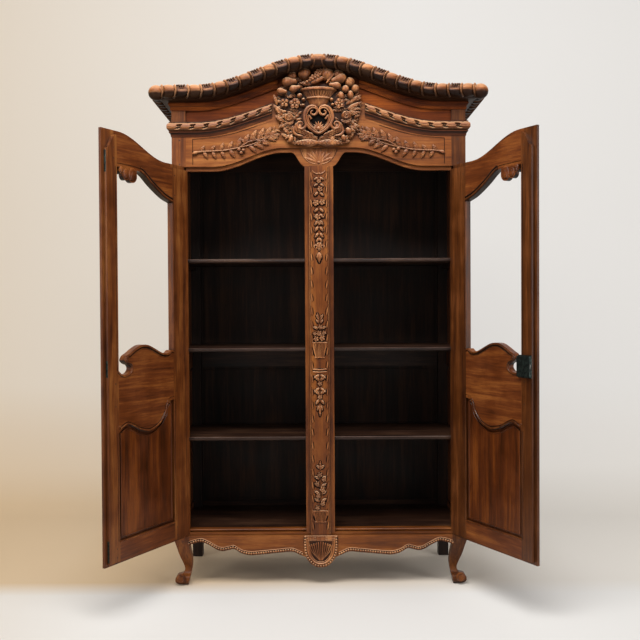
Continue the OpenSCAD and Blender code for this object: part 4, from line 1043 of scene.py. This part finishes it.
# The borders are a row of slanted leaves, each beside a near-black strip of painted shadow that
# outlines it
LEAF_PITCH = 60
for side in (-1, 1):
    line = [post.place(side * 35, v, 0) for v in (50, POST_H - 45)]
    for shape, carving, finish in (((46, 9, 4.5, -1.5), post, CARVED),
            ((44, 6, 0.5, 4.5), cuts, SHADE_BLACK)):
        carving.add(*repeated(line, slanted_leaf(*shape, side), int((POST_H - 90) / LEAF_PITCH),
            (0, -1, 0), finish, uneven=0.1, seed=3))
    post.band([(side * 44.5, 6), (side * 44.5, POST_H - 4)], 1.4, sides=5)
    cuts.band([(side * 42.2, 8), (side * 42.2, POST_H - 6)], 1.1, sides=5, flat=0.5)


def shade_round(u, v, half_long, half_wide, angle=0.0):
    """Dark cut round a carved shape on the post: a thin lens of painted shade."""
    ring = []
    for q in circle(12):
        a, b = half_long * math.cos(q), half_wide * math.sin(q)
        ring.append((u + a * math.cos(angle) - b * math.sin(angle),
            v + a * math.sin(angle) + b * math.cos(angle)))
    cuts.layers((ring, -0.5), (ring, 0.4))


def cut_leaf(u0, v0, u1, v1, width):
    """Leaf on the post with its dark outline of painted shade, from its root to its tip."""
    ribbed_leaf(post, (u0, v0), (u1, v1), width, 0.3, 7.5, 2)
    shade_round((u0 + u1) / 2, (v0 + v1) / 2 + 1.5, math.hypot(u1 - u0, v1 - v0) / 2 + 2.5,
        width + 2, math.atan2(v1 - v0, u1 - u0))


def cut_flowers(*flowers):
    for u, v, r in flowers:
        shade_round(u, v + 1.5, r + 3, r + 3)
        flower(post, u, v, 5, r, 5, 0.5)


def leaf_pairs(places, length, width, fall, inner=4):
    """Pairs of leaves on a stem; fall is the angle down from level."""
    for v in places:
        for side in (-1, 1):
            cut_leaf(side * inner, v, side * (inner + length * math.cos(fall)),
                v + length * math.sin(fall), width)


def woven_bowl(v_top, v_foot, top_half, foot_half):
    """Low basket on the post: staves under a corded rim."""
    tall = v_foot - v_top
    wide = [(top_half, v_top), (top_half * 0.96, v_top + 0.3 * tall), (foot_half, v_foot)]
    shade_round(0, v_top + tall / 2, top_half + 4, tall / 2 + 5)
    outline = wide + on_side(wide[::-1], -1)
    post.layers((outline, 0), (outline, 3))
    for k in range(-8, 9):
        # staves at the even halves, and near-black lines of painted shade between them
        top, foot = k * top_half / 9.2, k * foot_half / 9.2
        if k % 2:
            cuts.band([(top, v_top + 3), (foot, v_foot - 2)], 1.1, 4, 5)
        else:
            post.band([(top, v_top + 3), (foot, v_foot)], 2.6, 3, 6)
    for v, half in ((v_top, top_half * 1.06), (v_foot, foot_half * 1.15)):
        post.band([(-half, v), (0, v - 1.5), (half, v)], 3.4, 3)


# Upper bunch, hung from a ribbon: flowers, leaves and a closed bud
for side in (-1, 1):
    post.band(on_side(spline([(32, 24), (22, 34), (8, 40), (0, 36)], 4), side), 3, 2, 7, 1.1)
    post.band(on_side(spline([(30, 26), (34, 46), (28, 66), (33, 84)], 4), side), 2.4, 1.5, 6)
    for u, v, a in ((20, 386, 2.0), (6, 392, 1.7)):
        post.band(on_side(whorl((u, v), 10, 3, 0.9, a), side), 2.6, 2, 7)
leaf_pairs((58, 88), 24, 8, 0.5)
leaf_pairs((128, 205, 232), 27, 8.5, 0.75)
leaf_pairs((262, 292, 322), 30, 8.5, 0.95)
leaf_pairs((345, 366), 26, 8, 1.1, 2)
cut_flowers((0, 74, 11), (6, 112, 13), (-15, 178, 15), (15, 174, 15), (-5, 246, 13), (3, 272, 10))
cut_leaf(0, 372, 0, 408, 7)
shade_round(0, 440, 30, 14, math.pi / 2)
turned(post, (0, 412, 2), (0, 464, 2), [(0, 3), (0.3, 11), (0.6, 9), (1, 1)], 0.7)
for side in (-1, 1):
    cut_leaf(side * 3, 416, side * 14, 444, 6)
# Middle: a basket of flowers over a hanging group of leaves
woven_bowl(846, 916, 33, 20)
cut_flowers((-17, 826, 13), (12, 822, 14), (-2, 800, 12), (-24, 800, 9), (22, 796, 10),
    (4, 770, 11))
leaf_pairs((810, 780), 26, 8, -0.5, 8)
leaf_pairs((752, 730), 24, 7.5, -0.95, 3)
cut_leaf(-2, 745, -12, 698, 8)
cut_leaf(4, 740, 16, 706, 7)
shade_round(0, 978, 37, 11)
for v in (972, 984):
    post.band([(-33, v), (0, v + 3), (33, v)], 3.4, 2)
for v, length, fall in ((1000, 32, 0.55), (1026, 34, -0.75), (1062, 34, 0.75), (1092, 34, -0.7),
        (1118, 30, 0.9)):
    leaf_pairs((v,), length, 9, fall, 3)
cut_flowers((0, 1040, 11), (0, 1104, 11))
leaf_pairs((1146,), 28, 8, 1.15, 2)
cut_leaf(0, 1150, 0, 1200, 8)
# Foot: a spray in a low basket
cut_leaf(0, 1455, 0, 1408, 8)
leaf_pairs((1450,), 26, 8, -0.85, 2)
cut_flowers((-2, 1478, 12), (16, 1500, 11), (-15, 1520, 12), (9, 1548, 13), (-10, 1580, 12),
    (10, 1616, 12), (-14, 1636, 11))
leaf_pairs((1500, 1536, 1572, 1608), 29, 8.5, -0.6, 5)
woven_bowl(1654, 1706, 33, 22)
post.piece("centre_post_carving", CARVED, "case", "carved_walnut")
# the near-black cuts are painted shade round the carving on the post
cuts.piece("centre_post_cuts", SHADE_BLACK, "case", "carved_walnut", smooth=False)


# Mouldings of the doors, drawn on the inner faces that the open doors show. Shares are of the
# opening's width, from the hinge stile, and of a rail's height
HINGE_SIDE, LOCK_SIDE = 121.5, 517
SPAN = LOCK_SIDE - HINGE_SIDE
SIDE_TOP_Z, JOINT_Z, PANEL_Z = 1987, 983, 342
TOP_RAIL_H, SCROLL_H, SCROLL_DROP = 165, 191, 198


def over_span(shares, z, h):
    return [(HINGE_SIDE + s * SPAN, z + up * h) for s, up in spline(shares, 5)]


def offset(path, by, reach=1.0):
    """Path to the left of another one, or to its right where by is negative, as far as reach."""
    out = []
    for i, p in enumerate(path):
        a, b = path[max(i - 2, 0)], path[min(i + 2, len(path) - 1)]
        d = math.hypot(b[0] - a[0], b[1] - a[1])
        out.append((p[0] - (b[1] - a[1]) / d * by, p[1] + (b[0] - a[0]) / d * by))
    return [p for p in out if reach == 1.0 or p[0] < HINGE_SIDE + reach * SPAN]


top_path = over_span([(0, 1), (0.144, 0.903), (0.275, 0.758), (0.404, 0.588), (0.53, 0.394),
    (0.634, 0.303), (0.8, 0.285), (1, 0.285)], SIDE_TOP_Z, -TOP_RAIL_H)
scroll_path = over_span([(0, 0.81), (0.05, 0.83), (0.11, 0.765), (0.22, 0.785), (0.353, 0.895),
    (0.482, 0.99), (0.61, 1), (0.715, 0.927), (0.803, 0.838), (0.871, 0.775), (0.905, 0.68),
    (0.86, 0.6), (0.8, 0.555), (0.785, 0.46), (0.83, 0.377), (0.9, 0.356), (0.955, 0.387),
    (1, 0.46)], JOINT_Z, SCROLL_H)
hanging_path = over_span([(0, 0.36), (0.08, 0.38), (0.13, 0.5), (0.16, 0.66), (0.268, 0.869),
    (0.45, 1), (0.629, 0.94), (0.753, 0.833), (0.856, 0.763), (0.957, 0.84), (1, 0.9)], JOINT_Z,
    -SCROLL_DROP)
hang_edge = offset(hanging_path, 6.5)[8:-4]
knob = (HINGE_SIDE + 0.872 * SPAN, JOINT_Z + 0.69 * SCROLL_H)
# On each stile: where the scrolled edge, the top rail's edge and the hanging board's edge meet it
ENDS = ((HINGE_SIDE, -1, scroll_path[0][1], top_path[0][1], hanging_path[0][1]),
    (LOCK_SIDE, 1, scroll_path[-1][1], top_path[-1][1], hanging_path[-1][1]))
for name, side in SIDES.items():
    face = on_door(side, DOOR_T)
    lines = Carving(face)
    # moulded edge over the opening, from the hinge stile to the leaf that hangs near the free side
    lines.band(offset(top_path, 7, 0.63), 6.5, sides=10)
    lines.band(offset(top_path, 22.5, 0.6), 2, sides=6)
    # bead on the scrolled edge, ending in a coil
    lines.band(offset(scroll_path, -7.5), 4.5, 0, 10, 0.9,
        lambda t: 0.85 + 0.45 * dip(t, 0.62, 0.1))
    lines.band(offset(scroll_path, -17)[8:44], 2, sides=6)
    lines.band(whorl(knob, 14, 4, 1.1, 2.2), 4, 1)
    lines.blob((*knob, 1), (7, 7, 6), 7, 12)
    # swelling edge of the board over the panel, with a hook at each end
    lines.band(hang_edge, 5, 0, 10, 0.8, lambda t: 0.55 + 0.6 * hump(t))
    for (u, v), du, dv, r0, r1, turns, start, r in ((hang_edge[0], -11, 4, 11, 5, 0.62, -0.1, 3.6),
            (hang_edge[-1], 6, 8, 9, 4, -0.55, 3.6, 3.4)):
        lines.band(whorl((u + du, v + dv), r0, r1, turns, start), r, taper=tapered(0.6))
    # beads on the arrises of the opening and of the panel
    for s, away, low_end, top_end, panel_end in ENDS:
        lines.band([(s + 5 * away, low_end + 2), (s + 5 * away, top_end - 2)], 3.5)
        lines.band([(s + 5 * away, PANEL_Z), (s + 5 * away, panel_end - 4)], 2.5)
    lines.band([(HINGE_SIDE, PANEL_Z - 5), (LOCK_SIDE, PANEL_Z - 5)], 2.5)
    lines.piece(f"{name}_door_mouldings", DOOR_UP if side < 0 else DOOR_UP_SHADED, f"{name}_door",
        "door_walnut")

    # near-black lines in the quirks beside the mouldings: painted shade
    quirks = Carving(face)
    sunk = [(offset(top_path, 17.5, 0.61), 2.6), (offset(scroll_path, -13)[4:44], 1.8),
        (offset(hanging_path, 13)[8:-4], 1.4)]
    for s, away, low_end, top_end, panel_end in ENDS:
        sunk += [([(s + 10 * away, low_end), (s + 10 * away, top_end)], 1.7),
            ([(s + 9 * away, PANEL_Z), (s + 9 * away, panel_end)], 1.3)]
    for path, r in sunk:
        quirks.band(path, r, sides=6, flat=0.4)
    quirks.piece(f"{name}_door_quirks", SHADE_BLACK, f"{name}_door", "door_walnut", smooth=False)

    # raised leaf with three lobes under the top rail
    leafy = Carving(face)
    for s, down, share, turn in ((0.735, 0.45, 0.19, 0.25), (0.846, 0.46, 0.14, 0.0),
            (0.922, 0.36, 0.1, -0.3)):
        r = share * TOP_RAIL_H
        u, v = HINGE_SIDE + s * SPAN, SIDE_TOP_Z - down * TOP_RAIL_H
        leafy.blob((u, v + 0.15 * r, -1), (0.82 * r, 0.98 * r, 5), 8, 14, turn)
        for k in (-0.5, 0.0, 0.5):
            leafy.band([(u + d * k * r, v + (0.75 - d * 1.35) * r) for d in (0.15, 0.6, 1.05)], 1.2,
                3.2, 5)
    leafy.piece(f"{name}_door_leaf", DOOR_ACROSS[name], f"{name}_door", "door_walnut")

    # raised field of the panel: a rounded step inside the frame
    steps = Carving(on_door(side, DOOR_T - 5))
    left, right, foot = HINGE_SIDE + 16, LOCK_SIDE - 16, PANEL_Z + 16
    over = [p for p in offset(hanging_path, -15) if left + 4 < p[0] < right - 4]
    frame_line = [(left, over[0][1]), (left, foot), (right, foot), (right, over[-1][1])]
    for a, b in zip(frame_line, frame_line[1:]):
        steps.band([a, b], 3.4, flat=0.75)
    steps.band(over, 3, flat=0.75)
    steps.piece(f"{name}_door_field_edge", DOOR_PANEL, f"{name}_door", "door_walnut")


# Apron: a row of beads under a fillet along the scalloped edge, and the shield
APRON_DROP = 0.64 * SILL_Z
SHIELD_W = high("apron_shield").x / 1.02
SHIELD_MID = SILL_Z - 0.45 * APRON_DROP
bead = barrel(10.6, 5.4, lambda t, a: max(hump(t), 0.05) ** 0.5, 5, 8)
lace, groove, shield = (Carving(on_front()) for _ in range(3))


def apron_line(shares, w):
    """Line on the apron from shares of a half width and of the drop."""
    return [(u * w, SILL_Z - down * APRON_DROP) for u, down in spline(shares, 6)]


def bead_row(carving, line, out):
    """Row of beads along a line on the apron's right half, and on its left, over a near-black strip
    of painted shade in the groove.
    """
    path = evenly([carving.place(u, v, out) for u, v in line], 240)
    carving.add(*repeated(path, bead, int(travelled(path)[-1] / 11.6), (0, -1, 0), CARVED,
        uneven=0.08, seed=5), mirrored=True)
    for side in (1, -1):
        groove.band(on_side(line, side), 6.4, out - 1.2, 6, 0.22)


scallop = apron_line([(1, 0.3), (0.97, 0.25), (0.904, 0.2), (0.844, 0.3), (0.782, 0.445),
    (0.739, 0.48), (0.692, 0.44), (0.657, 0.42), (0.6, 0.555), (0.539, 0.613), (0.487, 0.606),
    (0.401, 0.574), (0.3, 0.535), (0.216, 0.516), (0.152, 0.62), (0.08, 0.72), (0, 0.74)], INNER_X)
scallop = [p for p in scallop if p[0] > SHIELD_W + 6]
bead_row(lace, [(u, v + 7.5) for u, v in scallop], 0.9)
for side in (-1, 1):
    lace.band([(side * u, v + 17) for u, v in scallop], 2.2, sides=6, flat=0.9)
lace.piece("apron_beads", CARVED, "case", "waxed_walnut")

half = apron_line([(1, 0.02), (1.02, 0.3), (0.97, 0.55), (0.85, 0.72), (0.6, 0.88), (0.3, 0.98),
    (0, 1)], SHIELD_W)
whole = both_halves(half)


def shrunk(line, by):
    """The outline drawn in towards the shield's middle by a length."""
    out = []
    for u, v in line:
        keep = 1 - by / math.hypot(u, v - SHIELD_MID)
        out.append((u * keep, SHIELD_MID + (v - SHIELD_MID) * keep))
    return out


shield.layers((whole, 0), (whole, 5), (shrunk(whole, 2), 6))
bead_row(shield, shrunk(half, 6.5), 6.2)
shield.band(shrunk(whole, 17), 5, 5.5, 10, 0.9)
shield.band(shrunk(whole, 27), 1.8, 6, 6, 1.0)
field = shrunk(whole, 30)
# the shield's ground takes the same dark walnut: painted shade behind the ribs
shield_ground = Carving(shield.place)
shield_ground.layers((field, 5), (field, 6.6))
shield_ground.piece("apron_shield_ground", GROUND, "case", "carved_walnut")
# palmette on the dark field: fine ribs that spread from the foot and curl over at their tips
field_foot = min(v for u, v in field) + 5
field_head = SILL_Z - 30
for k in range(-5, 6):
    u, v = k * 10.8, field_head - abs(k) * 3.4
    rib = spline([(k * 1.2, field_foot), (k * 8.2, field_foot + 0.45 * (field_head - field_foot)),
        (u, v), (u * 1.1, v - 9)], 4)
    shield.band(rib, 2.5, 6, 6, 1.0, lambda t: 0.6 + 0.55 * t)
# bar across the top of the shield with two small scrolls
for v, r in ((-4, 3.2), (-25, 2.2)):
    shield.band([(-0.94 * SHIELD_W, SILL_Z + v), (0.94 * SHIELD_W, SILL_Z + v)], r, 5.5, flat=0.9)
for side in (-1, 1):
    shield.band(on_side(whorl((27, SILL_Z - 14.5), 8, 2.5, 1.3, 3.6), side), 2.2, 5.5, 6, 1.1)
    shield.band([(side * u, SILL_Z - v) for u, v in spline([(34, 20), (50, 18), (70, 11)], 4)], 2.4,
        5.5, 6, taper=tapered(0.5))
# the near-black strips under the beads are painted shade
groove.piece("apron_groove", SHADE_BLACK, "case", "waxed_walnut", smooth=False)
shield_piece = shield.piece("reeded_shield", CARVED, "case", "carved_walnut")
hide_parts("apron_shield")

# Coiled toes of the front feet
TOE = (HALF_W - 28, 36)
for name, side in SIDES.items():
    toe = Carving(on_front(low("left_front_post").y + 3, 0.0, side))
    toe.blob((*TOE, 0), (23, 23, 12), 10, 20)
    toe.band(whorl(TOE, 21, 4, 1.35, 1.2), 4.4, 9, 8, 1.3, tapered(0.55))
    toe.piece(f"{name}_toe_coil", CASE_UP, "case", "waxed_walnut")

# Pale strips along the fronts of the shelves: a painted highlight on their arrises
noses = Carving()
for shelf in ("shelf_1", "shelf_2", "shelf_3"):
    near, far = low(shelf), high(shelf)
    noses.tube([[(x, near.y + y, far.z + z) for y, z in ((-0.9, 0.3), (2.4, 0.3), (2.4, -0.6),
        (-0.9, -3.4))] for x in (near.x + 4, far.x - 4)])
noses.piece("shelf_arrises", NOSE_HIGHLIGHT, "case", "waxed_walnut", smooth=False)


# Stage, lamps and camera, in metres

def backdrop():
    """Pale floor that turns up into a pale wall in one sweep."""
    reach, bend, wall_y, top = 6.0, 0.5, 1.9, 5.0
    profile = [(-7.0, 0.0)]
    profile += [(wall_y - bend + bend * math.sin(a), bend - bend * math.cos(a))
        for a in np.linspace(0, math.pi / 2, 9)]
    profile.append((wall_y, top))
    mesh = new_mesh("backdrop", [(x, y, z) for y, z in profile for x in (-reach, reach)],
        [(2 * i, 2 * i + 1, 2 * i + 3, 2 * i + 2) for i in range(len(profile) - 1)], 1.0)
    # the second pair of tones is the darker cream-brown behind the feet: painted shade under the case
    mesh.materials.append(plain_stage("pale_backdrop", "e0ddd9", ("cdae84", "ddd6cc"),
        ("dccbb4", "e7e4e0")))
    for p in mesh.polygons:
        p.use_smooth = True
    piece = new_object("backdrop", mesh)


backdrop()
for name, place, aim, size, power in (("ceiling_softbox", (-0.4, -2.0, 4.2), (0, 0, 1.7),
        (3.0, 1.8), 185), ("left_window", (-4.4, -3.4, 2.4), (0, 0, 1.1), (2.2, 2.6), 82),
        ("right_window", (4.4, -3.4, 2.0), (0, 0, 1.1), (2.2, 2.6), 105)):
    light = bpy.data.lights.new(name, "AREA")
    light.shape = "RECTANGLE"
    light.size, light.size_y = size
    light.energy = power
    lamp = new_object(name, light)
    lamp.location = place
    lamp.rotation_euler = (Vector(aim) - Vector(place)).to_track_quat("-Z", "Y").to_euler()

world = bpy.data.worlds.new("soft_room")
bpy.context.scene.world = world
world.use_nodes = True
background = world.node_tree.nodes["Background"]
background.inputs["Color"].default_value = linear("f4f2ef")
background.inputs["Strength"].default_value = 0.2
bpy.context.scene.view_settings.view_transform = "Standard"

# Camera as fitted to the photograph, which is 640 pixels square
PHOTO_PX = 640
FOCAL_PX = 927.8
CENTRE_PX = -2.24
EYE = Vector((-0.0085, -4.434, 1.353))
TILT = math.radians(1.02)
ROLL = math.radians(0.32)
camera_data = bpy.data.cameras.new("photo_view")
camera_data.sensor_width = 36.0
camera_data.sensor_fit = "HORIZONTAL"
camera_data.lens = FOCAL_PX / PHOTO_PX * camera_data.sensor_width
camera_data.shift_x = -CENTRE_PX / PHOTO_PX
camera = new_object("photo_view", camera_data)
forward = Vector((0, math.cos(TILT), -math.sin(TILT)))
upright = Vector((0, math.sin(TILT), math.cos(TILT)))
right = Vector((1, 0, 0)) * math.cos(ROLL) - upright * math.sin(ROLL)
up = Vector((1, 0, 0)) * math.sin(ROLL) + upright * math.cos(ROLL)
camera.matrix_world = Matrix.Translation(EYE) @ Matrix((right, up, -forward)).transposed().to_4x4()
bpy.context.scene.camera = camera
